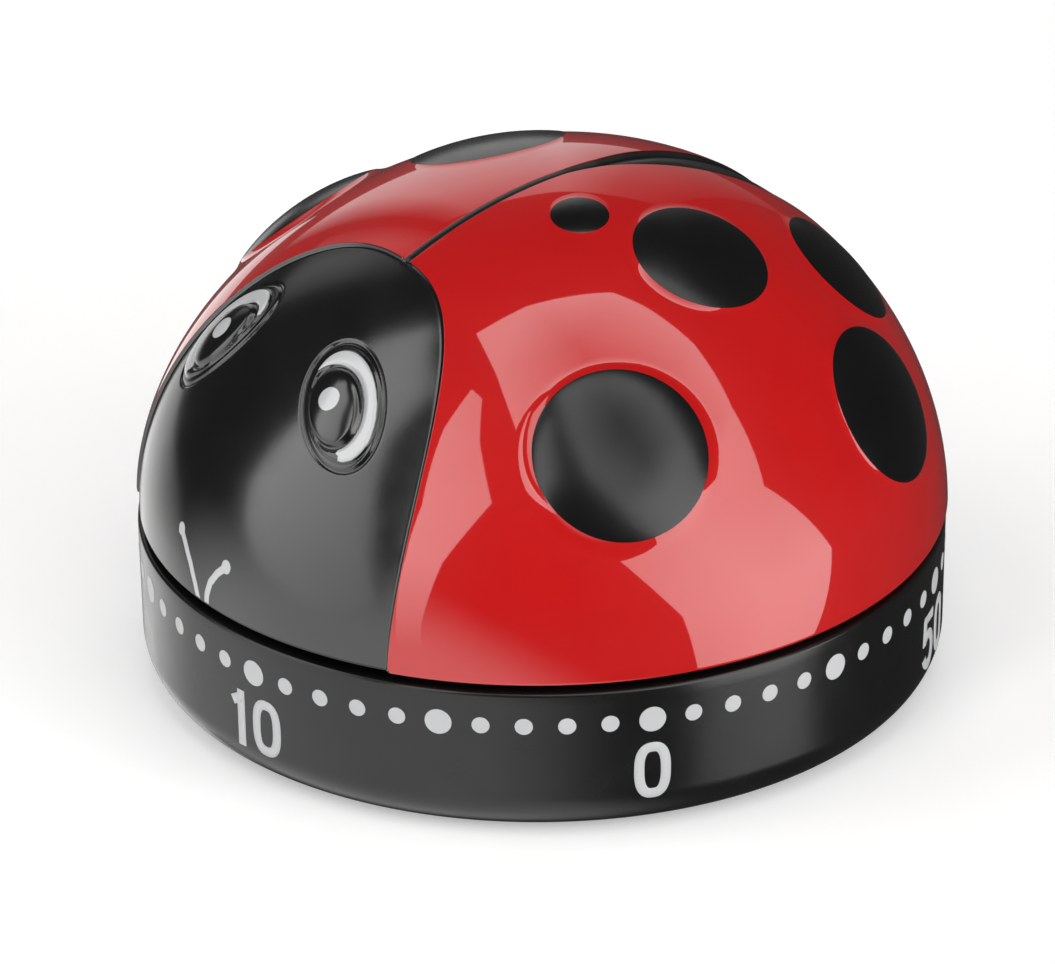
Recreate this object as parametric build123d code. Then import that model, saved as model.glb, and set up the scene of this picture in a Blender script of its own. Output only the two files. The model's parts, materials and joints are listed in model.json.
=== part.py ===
from build123d import *
import os
from math import acos, atan2, cos, degrees, hypot, pi, radians, sin, tan

# A 60-minute kitchen timer shaped like a ladybird, in millimetres.
# The origin is the centre of the bottom face, +Z is up and the ladybird looks along -Y.

# ---- case
RING_RADIUS = 37.5
RING_HEIGHT = 14.8
RING_WALL = 2.2
RING_TAPER = 0.25  # the ring is this much narrower in radius where its bottom rounding starts
BOTTOM_ROUNDING = 4.0
TOP_CHAMFER = 0.35
NECK_RADIUS = 34.6  # the ring's neck, which stands up inside the dome
NECK_BORE = 33.0
NECK_TOP = 17.4
COVER_RADIUS = 31.0
COVER_BOTTOM = 0.4
COVER_TOP = 2.0
SCREW_SINK = 0.9  # depth of the seats for the floor plate's screws
COLUMN_PLACE = 28.0  # distance of the three screw columns from the axis
COLUMN_RADIUS = 3.0
COLUMN_ANGLES = (20, 140, 260)

# ---- dome
DOME_BOTTOM = 15.7
DOME_RADIUS = 37.66
DOME_HEIGHT = 32.6
DOME_WALL = 2.2
ROUND_POWER = 1.923  # shape of the dome's side, where 2 is an ellipse
HEIGHT_POWER = 1.96
TAIL_LEAN = 3.07  # the top leans this far towards the tail
LEAN_POWER = 2.19
DOME_SECTIONS = 11
CAP_ANGLE = 86.5  # where the lofted side gives way to the small flat top
SPOT_RISE = 0.8
HEAD_STEP = 0.35
HEAD_LEFT_WIDTH = 20.9  # half width on the ladybird's left
HEAD_RIGHT_WIDTH = 22.6
HEAD_TOP = 28.7  # height of the head's outline over the dome's bottom edge
HEAD_POWER = 2.22
GROOVE_WIDTH = 1.0
GROOVE_DEPTH = 0.6
BOSS_RADIUS = 5.2
BOSS_BOTTOM = 30.0
BOSS_TOP = 46.3

# ---- movement
LOWER_PLATE = (10.0, 11.0)
UPPER_PLATE = (25.0, 26.0)
PLATE_RADIUS = 29.6
PLATE_SCREW_ANGLES = (62, -18, -80, 190)
PILLAR_PLACE = 27.4
PIVOT_PLAY = 0.05  # radial play of every pivot in its hole
ARBOR_RADIUS = 2.5
SPRING_SEAT_RADIUS = 3.0
ARBOR_TOP_RADIUS = 2.0
ARBOR_TOP = 41.5
FLAT_BOTTOM = 28.6
FLAT_DEPTH = 0.6

# ---- wheels: teeth and modules of the four meshes
MAIN_TEETH = 60
MAIN_MODULE = 0.5
SECOND_PINION_TEETH = 10
STRIKE_PINION_TEETH = 8
SECOND_TEETH = 50
THIRD_PINION_TEETH = 10
THIRD_TEETH = 48
ESCAPE_PINION_TEETH = 8
FINE_MODULE = 0.4
TOOTH_TIP = 0.85  # in modules
TOOTH_ROOT = 1.2
TOOTH_SLACK = 0.12
ESCAPE_TEETH = 15
ESCAPE_TIP = 5.5
ESCAPE_ROOT = 4.1
STAR_TEETH = 8
STAR_TIP = 4.0
STAR_ROOT = 2.7
RATCHET_TEETH = 16
RATCHET_TIP = 5.6
RATCHET_ROOT = 4.6

# ---- where the arbors stand
SECOND_DIRECTION = 90.0
THIRD_PLACE = 19.0  # distances from the main arbor
ESCAPE_PLACE = 21.0
ANCHOR_AT = (-21.5, 0.0)
STRIKE_DIRECTION = -120.0
HAMMER_AT = (-18.4, -15.4)

# ---- heights of the layers between the plates
SECOND_WHEEL_Z = (11.6, 12.6)
MAIN_WHEEL_Z = (13.4, 14.6)
RATCHET_Z = (14.8, 15.8)
THIRD_WHEEL_Z = (16.6, 17.4)
SPRING_Z = (18.0, 23.6)
FINE_WHEEL_Z = (19.6, 20.4)  # escape wheel and strike star
ANCHOR_Z = (21.0, 21.8)
BALANCE_Z = (22.5, 23.5)
FINGER_Z = (26.2, 26.8)
CAM_Z = (27.1, 27.9)

# ---- escapement, strike and trip
PIN_RADIUS = 0.3
PALLET_CIRCLE = 6.0  # distance of the pallet pins from the escape arbor at rest
TAIL_CIRCLE = 4.6  # distance of the hammer tail's tip from the strike arbor at rest
HAMMER_REACH = 10.0
HAMMER_HEAD_RADIUS = 2.2
HAMMER_GAP = 1.15
BELL_AT = (5.0, -4.0)
BELL_RADIUS = 21.0
BELL_WALL = 0.8
BELL_BOTTOM = 3.0
BELL_TOP = 9.2
CAM_LOW = 7.0
CAM_RISE_PER_DEGREE = 2.0 / 354
CAM_START = -72.0
NOSE_ANGLE = -30.0
NOSE_RADIUS = 0.4
NOSE_LENGTH = 2.4
NOSE_GAP = 0.15
LEVER_REACH = 16.0
LEVER_HALF_WIDTH = 0.8

# ---- mainspring
STRIP = 0.3
COIL_START = 3.4
COIL_PITCH = 1.5
COIL_TURNS = 6
POST_RADIUS = 1.2


def polar(radius, angle):
    return (radius * cos(radians(angle)), radius * sin(radians(angle)))


def disc(radius, low, high, at=(0, 0)):
    """An upright cylinder between two heights."""
    tall = high - low
    return Pos(at[0], at[1], low + tall / 2) * Cylinder(radius, tall)


def polygon_prism(points, low, high):
    """A straight-sided plate with the given outline."""
    outline = Face(Wire.make_polygon([(x, y, low) for x, y in points]))
    return Solid.extrude(outline, (0, 0, high - low))


def link(start, end, half_width, low, high):
    """A straight bar with round ends between two places."""
    length = hypot(end[0] - start[0], end[1] - start[1])
    turn = degrees(atan2(end[1] - start[1], end[0] - start[0]))
    middle = ((start[0] + end[0]) / 2, (start[1] + end[1]) / 2)
    bar = Pos(middle[0], middle[1], (low + high) / 2) * Rot(0, 0, turn) * Box(length, 2 * half_width, high - low)
    return bar + disc(half_width, low, high, start) + disc(half_width, low, high, end)


def stacked(steps, at=(0, 0)):
    """A turned shaft: each step is a radius with its lower and upper height."""
    shaft = disc(*steps[0], at=at)
    for step in steps[1:]:
        shaft += disc(*step, at=at)
    return shaft


def involute(angle):
    return tan(angle) - angle


def gear(teeth, module, low, high, at=(0, 0), phase=0.0):
    """A spur gear with flat-sided teeth. At phase 0 a tooth points along +X."""
    pitch = teeth * module / 2
    base = pitch * cos(radians(20))
    root = pitch - TOOTH_ROOT * module
    tip = pitch + TOOTH_TIP * module
    radii = (root, pitch - 0.4 * module, pitch + 0.4 * module, tip)
    half_at_pitch = pi / (2 * teeth) - TOOTH_SLACK / teeth
    points = []
    for tooth in range(teeth):
        middle = radians(phase) + 2 * pi * tooth / teeth
        halves = []
        for radius in radii:
            lean = acos(base / max(radius, base))
            halves.append(half_at_pitch + involute(radians(20)) - involute(lean))
        flank = list(zip(radii, halves))
        for radius, half in flank:
            points.append((at[0] + radius * cos(middle - half), at[1] + radius * sin(middle - half)))
        for radius, half in reversed(flank):
            points.append((at[0] + radius * cos(middle + half), at[1] + radius * sin(middle + half)))
    return polygon_prism(points, low, high)


def pointed_wheel(teeth, tip, root, lean, low, high, at=(0, 0), phase=0.0):
    """A wheel with narrow pointed teeth. At phase 0 the middle of a gap points along +X."""
    pitch = 360 / teeth
    points = []
    for tooth in range(teeth):
        start = phase + pitch * (tooth + 0.5)
        for radius, turn in ((root, -0.22 * pitch), (tip, lean * pitch - 0.05 * pitch),
                             (tip, lean * pitch + 0.05 * pitch), (root, 0.22 * pitch)):
            x, y = polar(radius, start + turn)
            points.append((at[0] + x, at[1] + y))
    return polygon_prism(points, low, high)


def windows(count, place, radius, low, high, at=(0, 0), phase=0.0):
    """Round lightening holes on a circle, as one cutter."""
    cutter = None
    for number in range(count):
        x, y = polar(place, phase + 360 * number / count)
        hole = disc(radius, low - 1, high + 1, (at[0] + x, at[1] + y))
        cutter = hole if cutter is None else cutter + hole
    return cutter


# Places of the arbors, worked out from the wheels that mesh.
main_pitch = MAIN_TEETH * MAIN_MODULE / 2
second_centres = main_pitch + SECOND_PINION_TEETH * MAIN_MODULE / 2
third_centres = (SECOND_TEETH + THIRD_PINION_TEETH) * FINE_MODULE / 2
escape_centres = (THIRD_TEETH + ESCAPE_PINION_TEETH) * FINE_MODULE / 2
strike_centres = main_pitch + STRIKE_PINION_TEETH * MAIN_MODULE / 2


def corner_angle(side, other, opposite):
    """The angle in degrees between two sides of a triangle, from its three lengths."""
    return degrees(acos((side**2 + other**2 - opposite**2) / (2 * side * other)))


third_direction = SECOND_DIRECTION + corner_angle(second_centres, THIRD_PLACE, third_centres)
escape_direction = third_direction + corner_angle(THIRD_PLACE, ESCAPE_PLACE, escape_centres)
second_at = polar(second_centres, SECOND_DIRECTION)
third_at = polar(THIRD_PLACE, third_direction)
escape_at = polar(ESCAPE_PLACE, escape_direction)
strike_at = polar(strike_centres, STRIKE_DIRECTION)


def direction(start, end):
    return degrees(atan2(end[1] - start[1], end[0] - start[0]))


def span(start, end):
    return hypot(end[0] - start[0], end[1] - start[1])


def shifted(start, reach, angle):
    x, y = polar(reach, angle)
    return (start[0] + x, start[1] + y)


# The hammer's head, its tail and the trip lever, each set square to what it works on.
to_bell = direction(HAMMER_AT, BELL_AT)
head_distance = BELL_RADIUS + HAMMER_HEAD_RADIUS + HAMMER_GAP
head_turn = corner_angle(HAMMER_REACH, span(HAMMER_AT, BELL_AT), head_distance)
hammer_head_at = shifted(HAMMER_AT, HAMMER_REACH, to_bell - head_turn)
tail_turn = degrees(acos(TAIL_CIRCLE / span(strike_at, HAMMER_AT)))
tail_direction = direction(strike_at, HAMMER_AT) - tail_turn
tail_at = shifted(strike_at, TAIL_CIRCLE, tail_direction)
nose_place = CAM_LOW - CAM_START * CAM_RISE_PER_DEGREE + NOSE_GAP + NOSE_RADIUS
nose_at = polar(nose_place, NOSE_ANGLE)
elbow_at = polar(nose_place + NOSE_LENGTH, NOSE_ANGLE)
lever_at = shifted(elbow_at, LEVER_REACH, NOSE_ANGLE - 90)
lever_tail_at = (-14.4, -16.2)
pallet_turn = degrees(acos(PALLET_CIRCLE / span(escape_at, ANCHOR_AT)))
to_anchor = direction(escape_at, ANCHOR_AT)
pallets_at = [shifted(escape_at, PALLET_CIRCLE, to_anchor + side * pallet_turn) for side in (-1, 1)]

# Every arbor's place with the radius of its pivots in the two plates.
PIVOTS = {
    "second": (second_at, 0.7),
    "third": (third_at, 0.6),
    "escape": (escape_at, 0.5),
    "anchor": (ANCHOR_AT, 0.4),
    "strike": (strike_at, 0.6),
}
HAMMER_ARBOR_RADIUS = 1.0
MAIN_PIVOT_RADIUS = 1.5


def dome_section(turn, inset):
    """Centre, radius and height of the dome's outline at a parameter from 0 (rim) to 90 (top)."""
    rise = sin(radians(turn)) ** (2 / HEIGHT_POWER)
    radius = (DOME_RADIUS - inset) * cos(radians(turn)) ** (2 / ROUND_POWER)
    height = DOME_BOTTOM + (DOME_HEIGHT - inset) * rise
    return TAIL_LEAN * rise**LEAN_POWER, radius, height


def dome_body(inset):
    """The dome as a solid, made smaller all round by an inset."""
    rings = []
    for number in range(DOME_SECTIONS):
        middle, radius, height = dome_section(CAP_ANGLE * number / (DOME_SECTIONS - 1), inset)
        rings.append(Wire.make_circle(radius, Plane((0, middle, height))))
    return Solid.make_loft(rings)


def dome_point(x, y):
    """The point of the dome's outside over a place, with the outward normal there."""
    low, high = 0.0, 89.9
    for _ in range(50):
        turn = (low + high) / 2
        middle, radius, _ = dome_section(turn, 0)
        if hypot(x, y - middle) < radius:
            low = turn
        else:
            high = turn
    middle, radius, height = dome_section(low, 0)
    outward = Vector(x, y - middle, 0).normalized()
    next_middle, next_radius, next_height = dome_section(low + 0.01, 0)
    along = Vector(0, next_middle - middle, 0) + outward * (next_radius - radius)
    along += Vector(0, 0, next_height - height)
    around = Vector(-outward.Y, outward.X, 0)
    return Vector(x, y, height), around.cross(along).normalized()


def bulge(x, y, radius, rise, curve=39.0):
    """A ball that stands out of the dome as a shallow round bulge."""
    depth = radius**2 / (2 * curve) + rise
    ball = (radius**2 + depth**2) / (2 * depth)
    point, normal = dome_point(x, y)
    if normal.Z < 0:
        normal = normal * -1
    centre = point + normal * (rise - ball)
    return Pos(centre.X, centre.Y, centre.Z) * Sphere(ball)


# Spots: place and radius. The right side repeats the left side's two spots at the back.
SPOTS = [
    (27.95, -10.45, 8.0),
    (-26.5, -8.2, 7.7),
    (15.65, 7.2, 6.5),
    (-14.0, 3.8, 7.3),
    (7.0, -0.3, 2.7),
    (27.0, 19.75, 7.5),
    (-27.0, 19.75, 7.5),
    (13.9, 24.1, 6.2),
    (-13.9, 24.1, 6.2),
]
EYES = [(7.8, -27.0, 4.6), (-14.4, -26.0, 4.6)]


def dome_shell():
    outside = dome_body(0)
    # The groove between the wing cases, which widens into a wedge towards the tail.
    half = GROOVE_WIDTH / 2
    wedge = [(half, -14.8), (half, 3.0), (1.7, 11.0), (3.7, 24.0), (5.0, 40.0)]
    outline = wedge + [(-x, y) for x, y in reversed(wedge)]
    groove = polygon_prism(outline, DOME_BOTTOM - 1, DOME_BOTTOM + DOME_HEIGHT + 5)
    groove -= dome_body(GROOVE_DEPTH)
    outside -= groove
    # The head's face lies a small step below the wing cases.
    arch = []
    for number in range(0, 181, 6):
        side = cos(radians(number))
        level = sin(radians(number))
        width = HEAD_LEFT_WIDTH if side > 0 else -HEAD_RIGHT_WIDTH
        x = width * abs(side) ** (2 / HEAD_POWER)
        arch.append((x, -60, DOME_BOTTOM + 2 + (HEAD_TOP - 2) * level ** (2 / HEAD_POWER)))
    arch += [(-HEAD_RIGHT_WIDTH, -60, DOME_BOTTOM - 2), (HEAD_LEFT_WIDTH, -60, DOME_BOTTOM - 2)]
    head = Solid.extrude(Face(Wire.make_polygon(arch)), (0, 55, 0))
    head -= dome_body(HEAD_STEP)
    outside -= head
    for x, y, radius in SPOTS:
        outside += bulge(x, y, radius, SPOT_RISE)
    for x, y, radius in EYES:
        outside += bulge(x, y, radius, SPOT_RISE)
    shell = outside - dome_body(DOME_WALL) - disc(DOME_RADIUS + 5, DOME_BOTTOM - 30, DOME_BOTTOM)
    shell += disc(BOSS_RADIUS, BOSS_BOTTOM, BOSS_TOP)
    shell -= flatted_shaft(BOSS_BOTTOM - 1, ARBOR_TOP + 0.5)
    return shell


def flatted_shaft(low, high):
    """The arbor's upper end, a cylinder with a flat that turns the dome."""
    flat = Pos(0, ARBOR_TOP_RADIUS - FLAT_DEPTH + 2, (low + high) / 2) * Box(8, 4, high - low)
    return disc(ARBOR_TOP_RADIUS, low, high) - flat


def boss_collar():
    return disc(BOSS_RADIUS + 0.8, BOSS_BOTTOM + 0.4, BOSS_BOTTOM + 4.4) - disc(BOSS_RADIUS, BOSS_BOTTOM, 40)


def dial_ring():
    low_radius = RING_RADIUS - RING_TAPER
    inner = RING_RADIUS - RING_WALL
    with BuildPart() as made:
        with BuildSketch(Plane.XZ):
            with BuildLine():
                Line((COVER_RADIUS + 0.1, 0), (low_radius - BOTTOM_ROUNDING, 0))
                RadiusArc((low_radius - BOTTOM_ROUNDING, 0), (low_radius, BOTTOM_ROUNDING), -BOTTOM_ROUNDING)
                Polyline(
                    (low_radius, BOTTOM_ROUNDING),
                    (RING_RADIUS, RING_HEIGHT - TOP_CHAMFER),
                    (RING_RADIUS - TOP_CHAMFER, RING_HEIGHT),
                    (NECK_RADIUS, RING_HEIGHT),
                    (NECK_RADIUS, NECK_TOP),
                    (NECK_BORE, NECK_TOP),
                    (NECK_BORE, 13.2),
                    (inner, 11.2),
                    (inner, 4.2),
                    (inner - 2, 2.2),
                    (COVER_RADIUS + 0.1, 2.2),
                    (COVER_RADIUS + 0.1, 0),
                )
            make_face()
        revolve(axis=Axis.Z)
    ring = made.part
    for angle in COLUMN_ANGLES:
        at = polar(COLUMN_PLACE, angle)
        ring += disc(COLUMN_RADIUS, COVER_TOP, LOWER_PLATE[0], at)
        ring += link(at, polar(inner + 0.6, angle), 1.0, COVER_TOP + 0.6, LOWER_PLATE[0] - 0.6)
    for angle in COLUMN_ANGLES:
        ring -= disc(1.15, 0, LOWER_PLATE[0] + 1, polar(COLUMN_PLACE, angle))
    return ring


def base_cover():
    cover = disc(COVER_RADIUS, COVER_BOTTOM, COVER_TOP)
    # Seven sound slots side by side, longest in the middle.
    for row in range(-3, 4):
        length = 30 - 3.2 * abs(row)
        cover -= link((-length / 2, 4.2 * row), (length / 2, 4.2 * row), 0.9, 0, 3)
    for angle in COLUMN_ANGLES:
        at = polar(COLUMN_PLACE, angle)
        cover -= disc(1.35, 0, 3, at)
        cover -= disc(2.3, 0, COVER_BOTTOM + SCREW_SINK, at)
    return cover


def screw(at, head_radius, head, shank_radius, shank, slot_up):
    """A cheese-head screw with a straight slot."""
    body = disc(head_radius, head[0], head[1], at) + disc(shank_radius, shank[0], shank[1], at)
    level = head[1] if slot_up else head[0]
    return body - Pos(at[0], at[1], level) * Box(2.4 * head_radius, 0.5, 0.8)


def group(solids):
    return Compound(children=[solid for one in solids for solid in one.solids()])


def base_screws():
    screws = []
    for angle in COLUMN_ANGLES:
        at = polar(COLUMN_PLACE, angle)
        seat = COVER_BOTTOM + SCREW_SINK
        screws.append(screw(at, 2.1, (COVER_BOTTOM + 0.1, seat), 1.15, (seat, 4.6), False))
    return group(screws)


def movement_screws():
    screws = []
    top = LOWER_PLATE[1]
    for angle in COLUMN_ANGLES:
        at = polar(COLUMN_PLACE, angle)
        screws.append(screw(at, 2.1, (top, top + 1.3), 1.15, (5.2, top), True))
    return group(screws)


def plate_holes(plate, low, high):
    """The pivot holes that both plates share."""
    for at, radius in PIVOTS.values():
        plate -= disc(radius + PIVOT_PLAY, low - 1, high + 1, at)
    return plate - disc(HAMMER_ARBOR_RADIUS + PIVOT_PLAY, low - 1, high + 1, HAMMER_AT)


def lower_plate():
    low, high = LOWER_PLATE
    plate = disc(PLATE_RADIUS, low, high)
    for angle in COLUMN_ANGLES:
        plate += disc(3.1, low, high, polar(COLUMN_PLACE, angle))
    for angle in COLUMN_ANGLES:
        plate -= disc(1.15, low - 1, high + 1, polar(COLUMN_PLACE, angle))
    for angle in PLATE_SCREW_ANGLES:
        plate -= disc(1.0, low - 1, high + 1, polar(PILLAR_PLACE, angle))
    plate -= disc(MAIN_PIVOT_RADIUS + PIVOT_PLAY, low - 1, high + 1)
    plate -= disc(1.2, low - 1, high + 1, BELL_AT)
    plate -= windows(1, 18, 5.0, low, high, phase=32)
    plate -= windows(1, 19, 4.0, low, high, phase=-47)
    return plate_holes(plate, low, high)


def upper_plate():
    low, high = UPPER_PLATE
    plate = disc(PLATE_RADIUS, low, high)
    for angle in PLATE_SCREW_ANGLES:
        plate -= disc(1.0, low - 1, high + 1, polar(PILLAR_PLACE, angle))
    plate -= disc(3.2, low - 1, high + 1)
    plate -= disc(0.9, low - 1, high + 1, lever_at)
    plate -= disc(0.8, low - 1, high + 1, post_at)
    plate -= windows(1, 19, 5.5, low, high, phase=30)
    plate -= windows(1, 21, 4.0, low, high, phase=-40)
    return plate_holes(plate, low, high)


def pillars():
    made = []
    for angle in PLATE_SCREW_ANGLES:
        at = polar(PILLAR_PLACE, angle)
        steps = [(1.0, LOWER_PLATE[0], LOWER_PLATE[1]), (1.7, LOWER_PLATE[1], UPPER_PLATE[0])]
        made.append(stacked(steps, at) - disc(0.8, 20, UPPER_PLATE[0] + 1, at))
    return group(made)


def pillar_screws():
    made = []
    top = UPPER_PLATE[1]
    for angle in PLATE_SCREW_ANGLES:
        at = polar(PILLAR_PLACE, angle)
        shank = disc(1.0, UPPER_PLATE[0], top, at)
        made.append(screw(at, 1.8, (top, top + 1.2), 0.8, (20.6, top), True) + shank)
    return group(made)


def arbor_bush():
    low, high = UPPER_PLATE
    bush = disc(4.0, low - 0.6, low) + disc(3.2, low, high + 0.5)
    return bush - disc(ARBOR_TOP_RADIUS + PIVOT_PLAY, low - 1, high + 1)


def bell():
    """A turned-over steel cup with a rounded shoulder."""
    shoulder = 2.6
    outer = BELL_RADIUS
    inner = BELL_RADIUS - BELL_WALL
    with BuildPart() as made:
        with BuildSketch(Plane.XZ):
            with BuildLine():
                Polyline((1.2, BELL_TOP - BELL_WALL), (1.2, BELL_TOP), (outer - shoulder, BELL_TOP))
                RadiusArc((outer - shoulder, BELL_TOP), (outer, BELL_TOP - shoulder), shoulder)
                Polyline(
                    (outer, BELL_TOP - shoulder),
                    (outer, BELL_BOTTOM),
                    (inner, BELL_BOTTOM),
                    (inner, BELL_TOP - shoulder),
                )
                RadiusArc(
                    (inner, BELL_TOP - shoulder),
                    (outer - shoulder, BELL_TOP - BELL_WALL),
                    -(shoulder - BELL_WALL),
                )
                Line((outer - shoulder, BELL_TOP - BELL_WALL), (1.2, BELL_TOP - BELL_WALL))
            make_face()
        revolve(axis=Axis.Z)
    return Pos(BELL_AT[0], BELL_AT[1], 0) * made.part


def bell_washer():
    return disc(2.6, BELL_TOP, LOWER_PLATE[0], BELL_AT) - disc(1.2, BELL_TOP - 1, LOWER_PLATE[0] + 1, BELL_AT)


def bell_screw():
    under = BELL_TOP - BELL_WALL
    return screw(BELL_AT, 2.6, (under - 1.5, under), 1.2, (under, LOWER_PLATE[1]), False)


coil_end = COIL_START + COIL_PITCH * COIL_TURNS
post_at = (coil_end + POST_RADIUS + 0.05, 0.0)


def mainspring():
    """A flat spiral strip of half circles, with an eye at its outer end."""
    low, high = SPRING_Z
    with BuildPart() as made:
        with BuildSketch(Plane.XY.offset(low)):
            with BuildLine():
                for inset in (0, STRIP):
                    for turn in range(COIL_TURNS):
                        start = COIL_START + COIL_PITCH * turn - inset
                        last = start + COIL_PITCH
                        ThreePointArc((start, 0), (0, start), (-start, 0))
                        middle = COIL_PITCH / 2
                        ThreePointArc((-start, 0), (middle, -(start + middle)), (last, 0))
                Line((COIL_START, 0), (COIL_START - STRIP, 0))
                Line((coil_end, 0), (coil_end - STRIP, 0))
            make_face()
        extrude(amount=high - low)
    eye = disc(POST_RADIUS + 0.05 + STRIP, low, high, post_at)
    eye -= disc(POST_RADIUS + 0.05, low - 1, high + 1, post_at)
    return made.part + eye


def spring_post():
    steps = [(POST_RADIUS, SPRING_Z[0] - 0.2, UPPER_PLATE[0]), (0.8, UPPER_PLATE[0], UPPER_PLATE[1])]
    return stacked(steps, post_at)


def lever_stud():
    top = CAM_Z[1] + 0.3
    steps = [(0.9, *UPPER_PLATE), (1.8, UPPER_PLATE[1], CAM_Z[0] - 0.1), (1.1, CAM_Z[0] - 0.1, top)]
    return stacked(steps + [(1.7, top, top + 0.6)], lever_at)


def main_arbor():
    steps = [
        (MAIN_PIVOT_RADIUS, *LOWER_PLATE),
        (ARBOR_RADIUS, LOWER_PLATE[1] + 0.1, SPRING_Z[0] - 0.3),
        (SPRING_SEAT_RADIUS, SPRING_Z[0] - 0.3, SPRING_Z[1] + 0.2),
        (ARBOR_TOP_RADIUS, SPRING_Z[1] + 0.2, FLAT_BOTTOM),
    ]
    pivot_neck = disc(MAIN_PIVOT_RADIUS, LOWER_PLATE[1], LOWER_PLATE[1] + 0.1)
    return stacked(steps) + pivot_neck + flatted_shaft(FLAT_BOTTOM, ARBOR_TOP)


def main_wheel():
    low, high = MAIN_WHEEL_Z
    wheel = gear(MAIN_TEETH, MAIN_MODULE, low, high, phase=SECOND_DIRECTION)
    wheel -= disc(ARBOR_RADIUS + PIVOT_PLAY, low - 1, high + 1)
    wheel -= disc(0.9, low - 1, high + 1, click_at)
    return wheel - windows(5, 8.9, 2.6, low, high, phase=click_direction + 36)


CLICK_PLACE = 9.2
CLICK_CIRCLE = 5.9
click_direction = 45.0
click_at = polar(CLICK_PLACE, click_direction)
click_turn = degrees(acos(CLICK_CIRCLE / CLICK_PLACE))
click_tip_direction = click_direction - click_turn
click_tip_at = polar(CLICK_CIRCLE, click_tip_direction)


def ratchet_wheel():
    low, high = RATCHET_Z
    points = []
    first = click_tip_direction - 2.5
    for tooth in range(RATCHET_TEETH):
        start = first + 360 * tooth / RATCHET_TEETH
        points.append(polar(RATCHET_ROOT, start))
        points.append(polar(RATCHET_TIP, start + 360 / RATCHET_TEETH - 0.4))
    return polygon_prism(points, low, high) - disc(ARBOR_RADIUS, low - 1, high + 1)


def click():
    """The pawl: a hub with a finger whose square end stands in the ratchet wheel."""
    low, high = RATCHET_Z
    tip_line = direction(click_at, click_tip_at)
    length = span(click_at, click_tip_at)
    outline = [(0, 1.4), (0, -1.4), (length - 1.9, -0.15), (length, -1.1), (length, 0.3), (length - 0.9, 0.75)]
    points = []
    for along, across in outline:
        turn = radians(tip_line)
        x = click_at[0] + along * cos(turn) - across * sin(turn)
        y = click_at[1] + along * sin(turn) + across * cos(turn)
        points.append((x, y))
    body = polygon_prism(points, low, high) + disc(1.6, low, high, click_at)
    return body - disc(0.9 + PIVOT_PLAY, low - 1, high + 1, click_at)


def click_pin():
    low, high = MAIN_WHEEL_Z[0], RATCHET_Z[1]
    return stacked([(0.9, low, high + 0.1), (1.5, high + 0.1, high + 0.5)], click_at)


def click_spring():
    """A leaf spring on its own foot, standing just behind the click."""
    low, high = RATCHET_Z[0] + 0.1, RATCHET_Z[1] - 0.1
    foot = polar(13.0, click_direction - 24)
    tip = polar(7.05, click_tip_direction + 8)
    leaf = link(foot, tip, 0.15, low, high)
    return leaf + disc(0.8, MAIN_WHEEL_Z[1], high, foot)


def trip_cam():
    """A snail cam whose radius grows by the same amount with every degree."""
    low, high = CAM_Z
    points = []
    for step in range(0, 357, 4):
        turn = CAM_START - 1 + step
        points.append(polar(CAM_LOW + (step - 1) * CAM_RISE_PER_DEGREE, NOSE_ANGLE + turn))
    points.append(polar(CAM_LOW, NOSE_ANGLE + turn + 0.5))
    return polygon_prism(points, low, high) - flatted_shaft(low - 1, FLAT_BOTTOM + 0.01) - disc(
        ARBOR_TOP_RADIUS, low - 1, high + 1)


def arbor_with_pinion(at, pivot, body_radius, teeth, module, pinion, phase, collar=None):
    """A steel arbor with its pinion cut from the same bar."""
    shoulder = 0.15
    low = LOWER_PLATE[1] + shoulder
    high = UPPER_PLATE[0] - shoulder
    steps = [(pivot, LOWER_PLATE[0], low), (body_radius, low, high), (pivot, high, UPPER_PLATE[1])]
    arbor = stacked(steps, at) + gear(teeth, module, pinion[0], pinion[1], at, phase)
    if collar:
        arbor += disc(*collar, at=at)
    return arbor


def opposite_gap(teeth, towards):
    """The phase that turns the middle of a gap towards a direction."""
    return towards + 180 / teeth


def second_pinion():
    towards_main = direction(second_at, (0, 0))
    phase = opposite_gap(SECOND_PINION_TEETH, towards_main)
    collar = (2.1, SECOND_WHEEL_Z[0] - 0.4, SECOND_WHEEL_Z[0])
    return arbor_with_pinion(second_at, 0.7, 1.2, SECOND_PINION_TEETH, MAIN_MODULE, (13.1, 14.9), phase, collar)


def second_wheel():
    low, high = SECOND_WHEEL_Z
    wheel = gear(SECOND_TEETH, FINE_MODULE, low, high, second_at, direction(second_at, third_at))
    wheel -= disc(1.2, low - 1, high + 1, second_at)
    return wheel - windows(4, 5.6, 2.3, low, high, second_at, 45)


def third_pinion():
    phase = opposite_gap(THIRD_PINION_TEETH, direction(third_at, second_at))
    collar = (1.9, THIRD_WHEEL_Z[0] - 0.4, THIRD_WHEEL_Z[0])
    return arbor_with_pinion(third_at, 0.6, 1.0, THIRD_PINION_TEETH, FINE_MODULE, (11.3, 12.9), phase, collar)


def third_wheel():
    low, high = THIRD_WHEEL_Z
    wheel = gear(THIRD_TEETH, FINE_MODULE, low, high, third_at, direction(third_at, escape_at))
    wheel -= disc(1.0, low - 1, high + 1, third_at)
    return wheel - windows(4, 5.4, 2.2, low, high, third_at, 20)


def escape_pinion():
    phase = opposite_gap(ESCAPE_PINION_TEETH, direction(escape_at, third_at))
    collar = (1.5, FINE_WHEEL_Z[0] - 0.4, FINE_WHEEL_Z[0])
    return arbor_with_pinion(escape_at, 0.5, 0.8, ESCAPE_PINION_TEETH, FINE_MODULE, (16.2, 17.8), phase, collar)


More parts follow.
